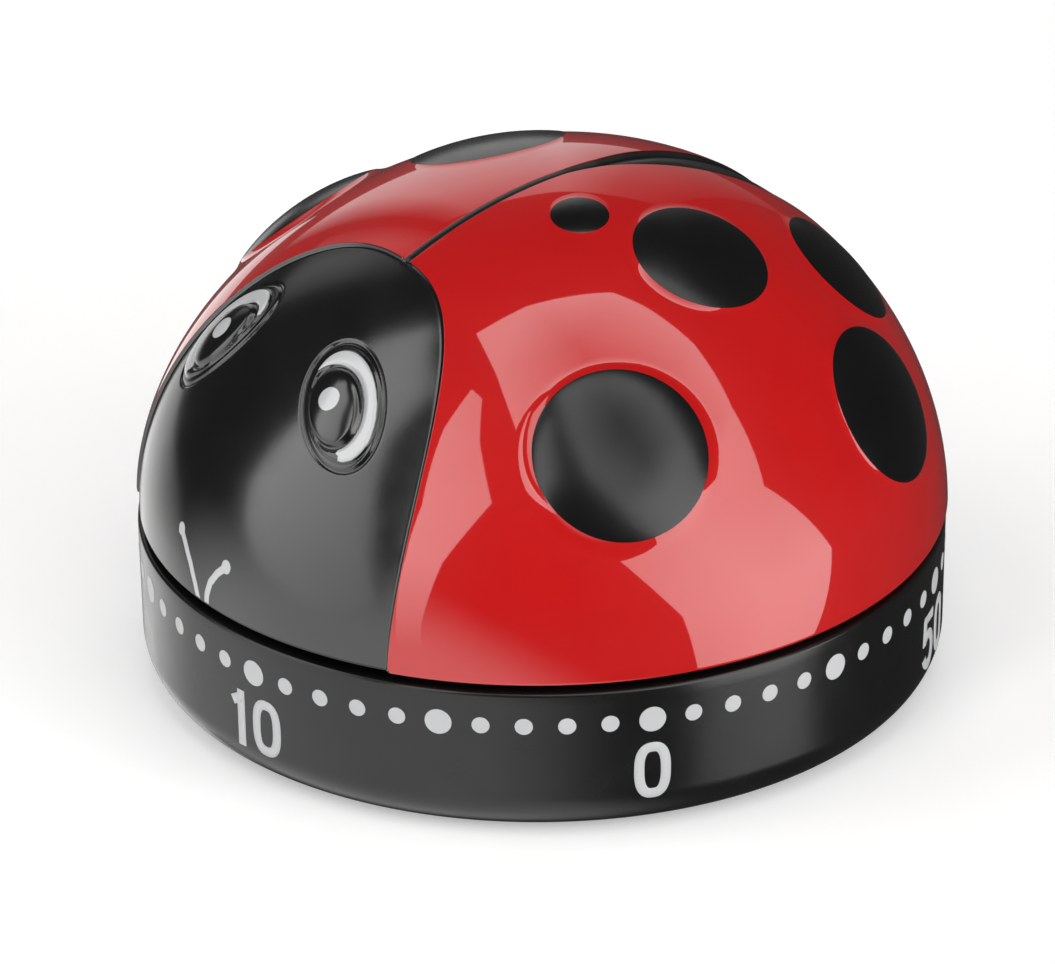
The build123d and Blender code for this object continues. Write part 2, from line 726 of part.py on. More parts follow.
def escape_wheel():
    low, high = FINE_WHEEL_Z
    towards_pin = to_anchor - pallet_turn
    wheel = pointed_wheel(ESCAPE_TEETH, ESCAPE_TIP, ESCAPE_ROOT, 0.12, low, high, escape_at, towards_pin)
    wheel -= disc(0.8, low - 1, high + 1, escape_at)
    return wheel - windows(4, 2.5, 0.9, low, high, escape_at)


def anchor_arbor():
    pivot = PIVOTS["anchor"][1]
    low, high = LOWER_PLATE[1] + 0.15, UPPER_PLATE[0] - 0.15
    return stacked([(pivot, LOWER_PLATE[0], low), (0.8, low, high), (pivot, high, UPPER_PLATE[1])], ANCHOR_AT)


def anchor():
    low, high = ANCHOR_Z
    lever = disc(1.7, low, high, ANCHOR_AT)
    for at in pallets_at:
        lever += link(ANCHOR_AT, at, 0.7, low, high)
    lever -= disc(0.8, low - 1, high + 1, ANCHOR_AT)
    for at in pallets_at:
        lever -= disc(PIN_RADIUS, low - 1, high + 1, at)
    return lever


def pallet_pins():
    return group([disc(PIN_RADIUS, FINE_WHEEL_Z[0] - 0.2, ANCHOR_Z[1], at) for at in pallets_at])


def balance_bar():
    low, high = BALANCE_Z
    ends = [(ANCHOR_AT[0], ANCHOR_AT[1] + side * 4.0) for side in (-1, 1)]
    bar = link(ends[0], ends[1], 0.6, low, high)
    for at in ends:
        bar += disc(1.2, low, high, at)
    bar += disc(1.5, low, high, ANCHOR_AT)
    return bar - disc(0.8, low - 1, high + 1, ANCHOR_AT)


def strike_pinion():
    # The two directions are a whole number of main wheel teeth apart, so a tooth points this way too.
    phase = opposite_gap(STRIKE_PINION_TEETH, direction(strike_at, (0, 0)))
    collar = (1.9, FINE_WHEEL_Z[0] - 0.4, FINE_WHEEL_Z[0])
    return arbor_with_pinion(strike_at, 0.6, 1.1, STRIKE_PINION_TEETH, MAIN_MODULE, (13.1, 14.9), phase, collar)


def strike_star():
    low, high = FINE_WHEEL_Z
    star = pointed_wheel(STAR_TEETH, STAR_TIP, STAR_ROOT, 0.0, low, high, strike_at, tail_direction)
    return star - disc(1.1, low - 1, high + 1, strike_at)


def hammer_arbor():
    radius = HAMMER_ARBOR_RADIUS
    collar = (1.8, LOWER_PLATE[1] + 0.15, LOWER_PLATE[1] + 1.2)
    return stacked([(radius, 7.0, FINGER_Z[1]), collar], HAMMER_AT)


def hammer_part(end, half_width, hub, low, high):
    """One of the hammer's three arms, with its hub pressed on the arbor."""
    arm = link(HAMMER_AT, end, half_width, low, high) + disc(hub, low, high, HAMMER_AT)
    return arm - disc(HAMMER_ARBOR_RADIUS, low - 1, high + 1, HAMMER_AT)


def hammer_arm():
    arm = hammer_part(hammer_head_at, 1.1, 2.0, 7.0, 8.0)
    return arm - disc(0.7, 6, 9, hammer_head_at)


def hammer_head():
    return stacked([(HAMMER_HEAD_RADIUS, 3.2, 7.0), (0.7, 7.0, 8.0)], hammer_head_at)


def hammer_tail():
    low, high = FINE_WHEEL_Z
    return hammer_part(tail_at, 0.35, 2.0, low, high)


def hammer_finger():
    return hammer_part((HAMMER_AT[0] + 4.6, HAMMER_AT[1] - 0.4), 0.8, 1.8, *FINGER_Z)


def trip_lever():
    low, high = CAM_Z
    lever = link(lever_at, elbow_at, LEVER_HALF_WIDTH, low, high)
    lever += link(elbow_at, nose_at, NOSE_RADIUS, low, high)
    lever += link(lever_at, lever_tail_at, LEVER_HALF_WIDTH, low, high)
    lever += disc(2.0, low, high, lever_at)
    return lever - disc(1.1 + PIVOT_PLAY, low - 1, high + 1, lever_at)


NODES = {
    "dial_ring": dial_ring,
    "base_cover": base_cover,
    "base_screws": base_screws,
    "lower_plate": lower_plate,
    "upper_plate": upper_plate,
    "pillars": pillars,
    "pillar_screws": pillar_screws,
    "movement_screws": movement_screws,
    "bell": bell,
    "bell_washer": bell_washer,
    "bell_screw": bell_screw,
    "arbor_bush": arbor_bush,
    "mainspring": mainspring,
    "spring_post": spring_post,
    "lever_stud": lever_stud,
    "dome_shell": dome_shell,
    "boss_collar": boss_collar,
    "main_arbor": main_arbor,
    "ratchet_wheel": ratchet_wheel,
    "main_wheel": main_wheel,
    "trip_cam": trip_cam,
    "click_pin": click_pin,
    "click_spring": click_spring,
    "click": click,
    "second_pinion": second_pinion,
    "second_wheel": second_wheel,
    "third_pinion": third_pinion,
    "third_wheel": third_wheel,
    "escape_pinion": escape_pinion,
    "escape_wheel": escape_wheel,
    "anchor_arbor": anchor_arbor,
    "anchor": anchor,
    "pallet_pins": pallet_pins,
    "balance_bar": balance_bar,
    "strike_pinion": strike_pinion,
    "strike_star": strike_star,
    "hammer_arbor": hammer_arbor,
    "hammer_arm": hammer_arm,
    "hammer_head": hammer_head,
    "hammer_tail": hammer_tail,
    "hammer_finger": hammer_finger,
    "trip_lever": trip_lever,
}

os.makedirs("parts", exist_ok=True)
for name, make in NODES.items():
    export_step(make(), f"parts/{name}.step")

# Joint centres and ratios that the record repeats.
lever_ratio = CAM_RISE_PER_DEGREE / radians(1) / LEVER_REACH
print("second", second_at, "third", third_at, "escape", escape_at, "strike", strike_at)
print("lever", lever_at, "ratio", lever_ratio, "click", click_at)
print("hammer head", hammer_head_at, "tail", tail_at, "pallets", pallets_at, "post", post_at)
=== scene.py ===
import json
import math
import bpy
import numpy as np
from mathutils import Matrix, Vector
from mathutils.geometry import delaunay_2d_cdt
from mathutils.kdtree import KDTree


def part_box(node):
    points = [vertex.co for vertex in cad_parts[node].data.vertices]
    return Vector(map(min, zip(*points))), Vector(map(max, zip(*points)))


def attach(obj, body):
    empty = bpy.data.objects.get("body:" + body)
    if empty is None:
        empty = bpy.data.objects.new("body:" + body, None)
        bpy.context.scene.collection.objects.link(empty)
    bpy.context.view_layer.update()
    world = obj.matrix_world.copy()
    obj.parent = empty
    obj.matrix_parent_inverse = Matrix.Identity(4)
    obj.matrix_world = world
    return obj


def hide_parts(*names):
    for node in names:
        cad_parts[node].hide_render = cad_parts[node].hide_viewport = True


# A ladybird kitchen timer. Lengths are millimetres until a mesh is made, and the head looks along -Y.
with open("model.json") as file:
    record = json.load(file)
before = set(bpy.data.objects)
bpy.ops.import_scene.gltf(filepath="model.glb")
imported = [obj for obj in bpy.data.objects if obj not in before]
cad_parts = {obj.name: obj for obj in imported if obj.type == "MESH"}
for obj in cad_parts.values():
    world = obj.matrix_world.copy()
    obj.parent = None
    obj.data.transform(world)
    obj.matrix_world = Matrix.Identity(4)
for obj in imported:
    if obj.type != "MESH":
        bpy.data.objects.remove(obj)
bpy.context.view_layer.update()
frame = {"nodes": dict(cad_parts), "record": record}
MM = 0.001

# ---------------------------------------------------------------- the dome's smooth base surface
dome_low, dome_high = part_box("dome_shell")
RIM_Z = dome_low.z / MM
RADIUS = dome_high.x / MM
TALL = 32.6  # the dome's top over its rim
ROUND = 1.923  # powers of the dome's outline, sideways and upwards
HIGH = 1.96
LEAN = 3.07  # how far the dome's top leans towards +Y, and the power it leans by
LEAN_POWER = 2.19
HEAD_LEFT = 20.9  # half widths of the head, on the ladybird's left and right
HEAD_RIGHT = 22.6
HEAD_MIDDLE = 17.8  # where the head is widest, and how far its outline rises from there
HEAD_TALL = 26.6
HEAD_POWER = 2.22
HEAD_END_Y = -5.0  # the head ends before this
HEAD_DEPTH = 0.35
SEAM_DEPTH = 0.55
RIM_ROUND = 0.35  # height of the rounded rim below the painted skin
FAR = 9.0  # stands for any large distance

# Each spot: its place from above, its radius, and how strongly it bulges.
SPOTS = [
    (27.95, -10.45, 8.0, 1.0),
    (15.65, 7.2, 6.5, 0.45),
    (7.0, -0.3, 2.7, 0.25),
    (27.0, 19.75, 7.5, 0.6),
    (13.9, 24.1, 6.2, 0.5),
    (-14.0, 3.8, 7.3, 0.35),
    (-26.5, -8.2, 7.7, 0.9),
    (-27.0, 19.75, 7.5, 0.6),
    (-13.9, 24.1, 6.2, 0.5),
]


def section(turn):
    """Centre, radius and height of the dome's outline at a parameter from 0 (rim) to pi/2 (top)."""
    rise = np.sin(turn) ** (2 / HIGH)
    return LEAN * rise**LEAN_POWER, RADIUS * np.cos(turn) ** (2 / ROUND), RIM_Z + TALL * rise


turns = np.linspace(0, math.pi / 2, 6001)
_, turn_radii, turn_heights = section(turns)
steps = np.hypot(np.diff(turn_radii), np.diff(turn_heights))
arcs = np.concatenate([[0], np.cumsum(steps)])
arcs = arcs[-1] - arcs  # distance from the top along the surface


def refold(flat):
    """Points of the dome for places on a flat map, which keeps distance and direction from the top."""
    reach = np.hypot(flat[:, 0], flat[:, 1])
    around = np.arctan2(flat[:, 1], flat[:, 0])
    middle, radius, height = section(np.interp(reach, arcs[::-1], turns[::-1]))
    return np.stack([radius * np.cos(around), middle + radius * np.sin(around), height], 1)


def unfold(points):
    """The flat map's places for points of the dome."""
    level = np.clip((points[:, 2] - RIM_Z) / TALL, 0, 1)
    low_turn = np.arcsin(level ** (HIGH / 2))
    turn = low_turn.copy()
    for _ in range(12):
        middle = section(turn)[0]
        reach = np.hypot(points[:, 0], points[:, 1] - middle)
        high_turn = np.arccos(np.clip(reach / RADIUS, 0, 1) ** (ROUND / 2))
        turn = np.where(low_turn < 0.9, low_turn, high_turn)
    middle = section(turn)[0]
    around = np.arctan2(points[:, 1] - middle, points[:, 0])
    distance = np.interp(turn, turns, arcs)
    return np.stack([distance * np.cos(around), distance * np.sin(around)], 1)


def off_surface(points):
    """Zero on the dome, positive outside it."""
    level = np.clip((points[:, 2] - RIM_Z) / TALL, 1e-9, 2)
    reach = np.hypot(points[:, 0], points[:, 1] - LEAN * level**LEAN_POWER)
    return (reach / RADIUS) ** ROUND + level**HIGH - 1


def surface_normals(points):
    """Unit normals of the dome, outwards."""
    level = np.clip((points[:, 2] - RIM_Z) / TALL, 1e-9, 2)
    y = points[:, 1] - LEAN * level**LEAN_POWER
    reach = np.maximum(np.hypot(points[:, 0], y), 1e-9)
    side = ROUND * (reach / RADIUS) ** (ROUND - 1) / RADIUS
    lean = LEAN * LEAN_POWER * level ** (LEAN_POWER - 1) / TALL
    up = HIGH * level ** (HIGH - 1) / TALL - side * y / reach * lean
    normals = np.stack([side * points[:, 0] / reach, side * y / reach, up], 1)
    return normals / np.linalg.norm(normals, axis=1)[:, None]


def onto_surface(points, along):
    """Points moved along a direction until they lie on the dome."""
    points = points.copy()
    along = np.broadcast_to(along, points.shape)
    for _ in range(7):
        value = off_surface(points)
        slope = (off_surface(points + 1e-3 * along) - value) / 1e-3
        points -= along * np.clip(value / np.where(abs(slope) < 1e-6, 1e-6, slope), -3, 3)[:, None]
    return points


def point_over(x, y):
    """The dome's point over a place seen from above, found by halving."""
    low, high = 0.0, math.pi / 2
    for _ in range(50):
        turn = (low + high) / 2
        middle, radius, _ = section(turn)
        if math.hypot(x, y - middle) < radius:
            low = turn
        else:
            high = turn
    return np.array([x, y, section(low)[2]])


def smooth(value):
    """0 up to 0, 1 from 1 on, and an even step between."""
    value = np.clip(value, 0, 1)
    return value * value * (3 - 2 * value)


def tangent_frame(point, towards):
    """The dome's normal at a point, a tangent near the given direction, and the tangent across it."""
    normal = surface_normals(point[None])[0]
    first = towards - normal * (towards @ normal)
    first /= np.linalg.norm(first)
    return normal, first, np.cross(normal, first)


# ---------------------------------------------------------------- the head's outline
def outline_points(count):
    """Evenly spaced points of the head's outline: up one side from the rim, round the top and down."""
    turn = np.linspace(0, math.pi, 4000)
    width = np.where(np.cos(turn) > 0, HEAD_LEFT, -HEAD_RIGHT)
    x = width * abs(np.cos(turn)) ** (2 / HEAD_POWER)
    z = HEAD_MIDDLE + HEAD_TALL * np.sin(turn) ** (2 / HEAD_POWER)
    legs = np.linspace(RIM_Z, HEAD_MIDDLE, 60)[:-1]
    x = np.concatenate([np.full(len(legs), HEAD_LEFT), x, np.full(len(legs), -HEAD_RIGHT)])
    z = np.concatenate([legs, z, legs[::-1]])
    level = (z - RIM_Z) / TALL
    radius = RADIUS * (1 - level**HIGH) ** (1 / ROUND)
    y = LEAN * level**LEAN_POWER - np.sqrt(radius**2 - x**2)
    points = np.stack([x, y, z], 1)
    length = np.concatenate([[0], np.cumsum(np.linalg.norm(np.diff(points, axis=0), axis=1))])
    wanted = np.linspace(0, length[-1], count)
    return np.stack([np.interp(wanted, length, points[:, k]) for k in range(3)], 1)


outline = outline_points(900)
outline = onto_surface(outline, surface_normals(outline))
outline_normals = surface_normals(outline)
outline_sides = np.cross(outline_normals, np.gradient(outline, axis=0))
outline_sides /= np.linalg.norm(outline_sides, axis=1)[:, None]
if outline_sides[len(outline) // 2, 1] < 0:
    outline_sides = -outline_sides  # they point away from the head
outline_tree = KDTree(len(outline))
for index, point in enumerate(outline):
    outline_tree.insert(point, index)
outline_tree.balance()


def head_distance(points):
    """Distance from the head's outline, negative on the head."""
    level = np.maximum(points[:, 2] - HEAD_MIDDLE, 0) / HEAD_TALL
    width = np.where(points[:, 0] > 0, HEAD_LEFT, HEAD_RIGHT)
    value = (abs(points[:, 0]) / width) ** HEAD_POWER + level**HEAD_POWER - 1
    before = points[:, 1] < HEAD_END_Y
    distance = np.where((value < 0) & before, -FAR, FAR)
    for index in np.nonzero((abs(value) < 0.35) & before)[0]:  # others are far from the outline
        point = points[index]
        _, found, _ = outline_tree.find(point)
        gap = (point - outline[found]) @ outline_sides[found]
        if abs(gap) < 3:
            distance[index] = gap
    return distance


# ---------------------------------------------------------------- the seam between the wing cases
# The seam is a fine groove over the top and widens to a tail at the back.
SEAM_Y = [-20.0, 3.0, 7.0, 11.2, 15.0, 24.4, 33.0, 40.0]
SEAM_HALF = [0.42, 0.42, 0.8, 1.6, 2.25, 3.75, 4.9, 5.6]
BEND_Y = [-15.0, -8.0, 3.0]
BEND_X = [0.35, 0.15, 0.0]


def seam_half(y):
    return np.interp(y, SEAM_Y, SEAM_HALF)


def seam_middle(y):
    return np.interp(y, BEND_Y, BEND_X)


def seam_distance(points):
    """Distance sideways from the seam's edge, negative in the seam."""
    y = points[:, 1]
    return abs(points[:, 0] - seam_middle(y)) - seam_half(y)


# ---------------------------------------------------------------- spots and eyes
UP = np.array([0.0, 0.0, 1.0])
SPOT_REACH = 5.0  # nothing of a spot lies further than this beyond its edge
SPOT_FOOT = 0.36  # height of the fillet round a spot of weight 1
SPOT_BULGE = 0.85  # height of that spot's bulge over its fillet
FILLET_WIDE = 1.5

spots = []
for x, y, radius, weight in SPOTS:
    centre = point_over(x, y)
    normal, first, second = tangent_frame(centre, UP)
    spots.append((centre, normal, first, second, radius, weight))


def spot_distance(points, spot):
    """Distance from a spot's edge, square to its own axis, negative on the spot."""
    centre, normal, _, _, radius, _ = spot
    offset = points - centre
    depth = offset @ normal
    flat = offset - depth[:, None] * normal
    distance = np.linalg.norm(flat, axis=1) - radius
    return np.where(np.linalg.norm(offset, axis=1) < radius + SPOT_REACH, distance, FAR)


def spot_height(distance, radius, weight):
    """A black bulge with a soft shoulder, and a hollow red fillet round it."""
    foot = SPOT_FOOT * weight**1.3
    width = FILLET_WIDE * (0.35 + 0.65 * weight)
    fillet = foot * np.clip(1 - distance / width, 0, 1) ** 2.2
    share = np.clip((distance + radius) / radius, 0, 1)
    top = SPOT_BULGE * weight * np.clip(1 - share**2.1, 0, 1) ** 0.9
    return np.where(distance < 0, foot + top, fillet)


# Each eye: its middle, the way its top points, and which side of that its dot lies on.
EYES = [
    ((7.75, -26.98, 35.91), (-10.04, 5.51, 7.35), 1),
    ((-14.41, -26.0, 34.5), (0.469, 0.508, 0.722), -1),
]
# Ovals on an eye's own plane: the middle up and across, then the half sizes up and across.
EYE_RIM = (0.65, 0.22, 6.8, 4.2)
EYE_BALL = (0.5, 0.15, 5.85, 3.6)
EYE_IRIS = (0.55, 0.85, 4.1, 2.8)
EYE_HOLLOW = (0.6, 1.2, 4.5, 3.3)  # what the white crescent leaves free
EYE_REACH = 9.5


def eye_frames():
    frames = []
    for middle, towards, side in EYES:
        middle = np.array([middle])
        middle = onto_surface(middle, surface_normals(middle))[0]
        normal, top, across = tangent_frame(middle, np.array(towards))
        frames.append((middle, normal, top, side * across))
    return frames


eyes = eye_frames()


def oval(a, b, shape):
    """Distance from an oval, negative inside, and the share of the way out from its middle."""
    middle_a, middle_b, half_a, half_b = shape
    u = (a - middle_a) / half_a
    v = (b - middle_b) / half_b
    reach = np.maximum(np.hypot(u, v), 1e-6)
    slope = np.hypot(u / half_a, v / half_b) / reach
    return (reach - 1) / np.maximum(slope, 1e-6), reach


def eye_fields(points, eye):
    """For points near an eye: its relief, and the distance from its white paint."""
    middle, _, top, across = eye
    offset = points - middle
    a = offset @ top
    b = offset @ across
    near = np.linalg.norm(offset, axis=1) < EYE_REACH
    rim, _ = oval(a, b, EYE_RIM)
    ball, _ = oval(a, b, EYE_BALL)
    iris, iris_reach = oval(a, b, EYE_IRIS)
    hollow, _ = oval(a, b, EYE_HOLLOW)
    dot = np.hypot((a - 1.05) / 1.08, b - 1.02) - 1.08
    ragged = 0.09 * np.sin(9 * a + 4 * b) + 0.07 * np.sin(21 * b - 7 * a)
    cut = np.where(a < 0.5, b - 1.15 + ragged, b - 2.25)
    crescent = np.maximum(np.maximum(ball + 0.1, -hollow), cut)
    white = np.minimum(crescent, dot)
    height = -0.2 * np.exp(-((rim / 0.17) ** 2))  # the fine groove round the eye
    height += 0.07 * smooth(-rim / 0.5)  # the raised lid
    height += 0.32 * smooth((0.12 - ball) / 0.4)  # the ball on it
    height -= 0.3 * np.exp(-(((iris - 0.1) / 0.3) ** 2)) * smooth(-ball / 0.5)  # the groove round the iris
    height += 0.62 * np.clip(1 - iris_reach**2, 0, 1) ** 0.6  # the domed iris
    return np.where(near, height, 0), np.where(near, white, FAR)


# The two painted feelers, as places along the rim from the middle of the head and heights.
FEELERS = [
    [(-1.0, 15.6), (-1.75, 17.2), (-2.8, 18.8), (-4.2, 20.2), (-5.3, 21.1)],
    [(0.25, 15.6), (0.3, 16.9), (0.75, 18.3), (1.7, 19.6), (2.7, 20.5)],
]
FEELER_ENDS = [(-5.35, 21.15, 0.62), (2.8, 20.6, 0.66)]  # each end's round tip and its radius
FEELER_HALF = 0.36
FEELER_END_Y = -25.0  # the feelers end before this


def feeler_distance(points):
    """Distance from the two feelers painted above the rim, negative inside."""
    across = RADIUS * np.arctan2(points[:, 0], -points[:, 1])
    height = points[:, 2]
    distance = np.full(len(points), FAR)
    for feeler, (end_x, end_z, end_radius) in zip(FEELERS, FEELER_ENDS):
        for (x0, z0), (x1, z1) in zip(feeler[:-1], feeler[1:]):
            dx = x1 - x0
            dz = z1 - z0
            share = ((across - x0) * dx + (height - z0) * dz) / (dx * dx + dz * dz)
            share = np.clip(share, 0, 1)
            gap = np.hypot(across - x0 - share * dx, height - z0 - share * dz) - FEELER_HALF
            distance = np.minimum(distance, gap)
        distance = np.minimum(distance, np.hypot(across - end_x, height - end_z) - end_radius)
    return np.where(points[:, 1] < FEELER_END_Y, distance, FAR)


TAIL_CROWN = 0.3  # how far the seam's wide tail rounds up again in its middle


def relief(points):
    """The dome's height over its base surface, and the distances from the head and from white paint."""
    head = head_distance(points)
    seam = np.where(head > -0.4, seam_distance(points), FAR)
    height = -HEAD_DEPTH * smooth((0.03 - head) / 0.34)
    wing = smooth((head + 0.1) / 0.2)  # 0 on the head, 1 on the wing cases
    height -= SEAM_DEPTH * smooth((0.04 - seam) / 0.32) * wing
    height += TAIL_CROWN * (smooth((-seam - 0.3) / 2.0) * wing)
    for spot in spots:
        distance = spot_distance(points, spot)
        near = distance < 3
        radius, weight = spot[4:]
        height[near] += spot_height(distance[near], radius, weight)
    white = feeler_distance(points)
    for eye in eyes:
        moulding, gap = eye_fields(points, eye)
        height += np.where(head < -0.2, moulding, 0)
        white = np.minimum(white, gap)
    return height, head, white


# ---------------------------------------------------------------- the dome's mesh
RIM_COUNT = 900  # points round the rim
GRID = 0.52  # spacing of the points away from all paint edges

SPOT_SPACING = 0.24
# Offsets of the rows of points beside each edge, where the relief is steep.
SPOT_ROWS = [-0.02, -0.07, -0.15, -0.27, -0.43, -0.65, -0.95, -1.35]
SPOT_ROWS += [0.0, 0.06, 0.16, 0.3, 0.48, 0.7, 0.95, 1.25, 1.6]
HEAD_ROWS = [-0.6, -0.4, -0.26, -0.18, -0.12, -0.06, 0.0, 0.05, 0.1, 0.16, 0.28, 0.45]
SEAM_ROWS = [-0.42, -0.3, -0.22, -0.15, -0.07, 0.0, 0.05, 0.1, 0.2, 0.36]
TAIL_Y = 30.1  # from here on the seam's rows are spaced down the dome's side
# Oval patches of close points: half sizes and spacing.
EYE_PATCH = (8.0, 5.3, 0.13)
FEELER_PATCH = (6.4, 3.4, 0.17)
FEELER_MIDDLE = np.array([[-0.8, -37.0, 18.6]])
FEATURE_CLEAR = 0.12  # how far the features and the grid stay from the rim
GRID_CLEAR = 0.3


def spot_rows(spot):
    """Rings of points along a spot's edge."""
    centre, normal, first, second, radius, _ = spot
    rows = []
    count = max(int(2 * math.pi * radius / SPOT_SPACING), 60)
    turn = np.arange(count) * 2 * math.pi / count
    for offset in SPOT_ROWS:
        reach = radius + offset
        around = np.outer(np.cos(turn), first) + np.outer(np.sin(turn), second)
        rows.append(onto_surface(centre + reach * around, normal))
    return rows


def head_rows():
    """Rows of points along the head's outline."""
    path = outline[::3]
    rows = []
    for offset in HEAD_ROWS:
        rows.append(onto_surface(path + offset * outline_sides[::3], outline_normals[::3]))
    return rows


def lifted(x, y):
    """The dome's points over places seen from above."""
    level = np.full(len(x), 0.9)
    for _ in range(16):
        reach = np.hypot(x, y - LEAN * level**LEAN_POWER)
        level = np.maximum(1 - (reach / RADIUS) ** ROUND, 1e-6) ** (1 / HIGH)
    return np.stack([x, y, RIM_Z + TALL * level], 1)


def seam_rows():
    """Rows beside the seam: evenly along it over the top, and evenly down the steep tail."""
    rows = []
    over = np.arange(-15.6, 30.0, 0.28)
    down = np.linspace(0.02, 0.76, 60)
    for side in (-1, 1):
        for offset in SEAM_ROWS:
            rows.append(lifted(seam_middle(over) + side * (seam_half(over) + offset), over))
            middle, radius, height = section(down)
            y = middle + radius
            for _ in range(6):
                x = seam_middle(y) + side * (seam_half(y) + offset)
                y = middle + np.sqrt(radius**2 - x**2)
            rows.append(np.stack([x, y, height], 1)[y > TAIL_Y])
    return rows


def patch_points(centre, first, second, normal, half_first, half_second, pitch):
    """An oval patch of evenly spaced points, laid on the dome."""
    a = np.arange(-half_first, half_first, pitch)
    b = np.arange(-half_second, half_second, pitch)
    a, b = [grid.ravel() for grid in np.meshgrid(a, b)]
    b = b + (np.round(a / pitch) % 2) * pitch / 2
    inside = (a / half_first) ** 2 + (b / half_second) ** 2 < 1
    points = centre + np.outer(a[inside], first) + np.outer(b[inside], second)
    return onto_surface(points, normal)


def thinned(candidates, kept, gap):
    """The candidates that stand clear of every kept point."""
    tree = KDTree(len(kept))
    for index, point in enumerate(kept):
        tree.insert(point, index)
    tree.balance()
    clear = [tree.find(point)[2] > gap for point in candidates]
    return candidates[np.array(clear)]


rim_turn = math.asin((RIM_ROUND / TALL) ** (HIGH / 2))
rim_reach = float(np.interp(rim_turn, turns, arcs))
rim_around = np.arange(RIM_COUNT) * 2 * math.pi / RIM_COUNT


def feature_places():
    """Places on the flat map along every edge, and all over the eyes and the feelers."""
    rows = []
    for spot in spots:
        rows += spot_rows(spot)
    rows += head_rows() + seam_rows()
    for middle, normal, top, across in eyes:
        rows.append(patch_points(middle + EYE_RIM[0] * top, top, across, normal, *EYE_PATCH))
    front = np.array([0.0, -1.0, 0.0])
    feelers = onto_surface(FEELER_MIDDLE, front)[0]
    rows.append(patch_points(feelers, np.array([1.0, 0.0, 0.0]), UP, front, *FEELER_PATCH))
    flat = unfold(np.concatenate(rows))
    return flat[np.hypot(flat[:, 0], flat[:, 1]) < rim_reach - FEATURE_CLEAR]


def background_places(features):
    """An even grid of places on the flat map, clear of the features and of the rim."""
    span = np.arange(-rim_reach, rim_reach, GRID)
    x, y = [grid.ravel() for grid in np.meshgrid(span, span * 0.9)]
    x = x + (np.round(y / (GRID * 0.9)) % 2) * GRID / 2
    grid = np.stack([x, y], 1)[np.hypot(x, y) < rim_reach - GRID_CLEAR]
    return unfold(thinned(refold(grid), refold(features), GRID_CLEAR))


features = feature_places()
rim_places = rim_reach * np.stack([np.cos(rim_around), np.sin(rim_around)], 1)
flat = np.concatenate([rim_places, features, background_places(features)])
places, _, faces = delaunay_2d_cdt([tuple(place) for place in flat], [], [], 0, 1e-6, False)[:3]
flat = np.array([tuple(place) for place in places])
triangles = np.array(faces)
base = refold(flat)
base_normals = surface_normals(base)
height, head, white = relief(base)
skin = base + base_normals * height[:, None]


def mesh_normals(points, faces):
    """Each point's normal, as the mean of its faces' normals by area."""
    corners = points[faces]
    face_normals = np.cross(corners[:, 1] - corners[:, 0], corners[:, 2] - corners[:, 0])
    normals = np.zeros_like(points)
    for k in range(3):
        np.add.at(normals, faces[:, k], face_normals)
    return normals / np.maximum(np.linalg.norm(normals, axis=1), 1e-12)[:, None]


corners = skin[triangles]
facing = np.cross(corners[:, 1] - corners[:, 0], corners[:, 2] - corners[:, 0])
flip = np.einsum("ij,ij->i", facing, base_normals[triangles[:, 0]]) < 0
triangles[flip] = triangles[flip][:, ::-1]
normals = mesh_normals(skin, triangles)
# Where nothing is moulded, the smooth surface's own normals are exact.
plain = (abs(height) < 1e-4) | ((abs(height + HEAD_DEPTH) < 1e-4) & (head < -0.6))
normals[plain] = base_normals[plain]

# What each triangle is painted as; the spots count up from the last value.
WING, HEAD, SEAM, FIRST_SPOT = range(4)
centres = base[triangles].mean(1)
kind = np.full(len(triangles), WING)
kind[seam_distance(centres) < 0] = SEAM
kind[head_distance(centres) < 0] = HEAD
for number, spot in enumerate(spots):
    kind[spot_distance(centres, spot) < 0] = FIRST_SPOT + number


# ---------------------------------------------------------------- materials
# Noise scales are per metre, and bump heights are metres.
TONE_SCALE = 90.0
PATCH_SCALE = 260.0


def grey(value):
    return (value, value, value)


def node_material(name):
    material = bpy.data.materials.new(name)
    material.use_nodes = True
    tree = material.node_tree
    shader = tree.nodes["Principled BSDF"]
    return material, tree, shader


def noise(tree, scale, detail=3.0):
    place = tree.nodes.new("ShaderNodeTexCoord")
    made = tree.nodes.new("ShaderNodeTexNoise")
    made.inputs["Scale"].default_value = scale
    made.inputs["Detail"].default_value = detail
    tree.links.new(place.outputs["Object"], made.inputs["Vector"])
    return made.outputs["Fac"]


def scaled(tree, source, low, high, start=0.3, end=0.7):
    """A value that goes from low to high while the source goes from start to end."""
    made = tree.nodes.new("ShaderNodeMapRange")
    made.inputs["From Min"].default_value = start
    made.inputs["From Max"].default_value = end
    made.inputs["To Min"].default_value = low
    made.inputs["To Max"].default_value = high
    tree.links.new(source, made.inputs["Value"])
    return made.outputs["Result"]


def mixed(tree, share, first, second):
    """A colour between two colours."""
    made = tree.nodes.new("ShaderNodeMix")
    made.data_type = "RGBA"
    made.inputs["A"].default_value = (*first, 1)
    made.inputs["B"].default_value = (*second, 1)
    tree.links.new(share, made.inputs["Factor"])
    return made.outputs["Result"]


def bump(tree, shader, source, distance, below=None):
    """Relief from a source, laid over the bump below it if there is one."""
    made = tree.nodes.new("ShaderNodeBump")
    made.inputs["Distance"].default_value = distance
    made.inputs["Strength"].default_value = 1.0
    tree.links.new(source, made.inputs["Height"])
    if below is not None:
        tree.links.new(below, made.inputs["Normal"])
    tree.links.new(made.outputs["Normal"], shader.inputs["Normal"])
    return made.outputs["Normal"]


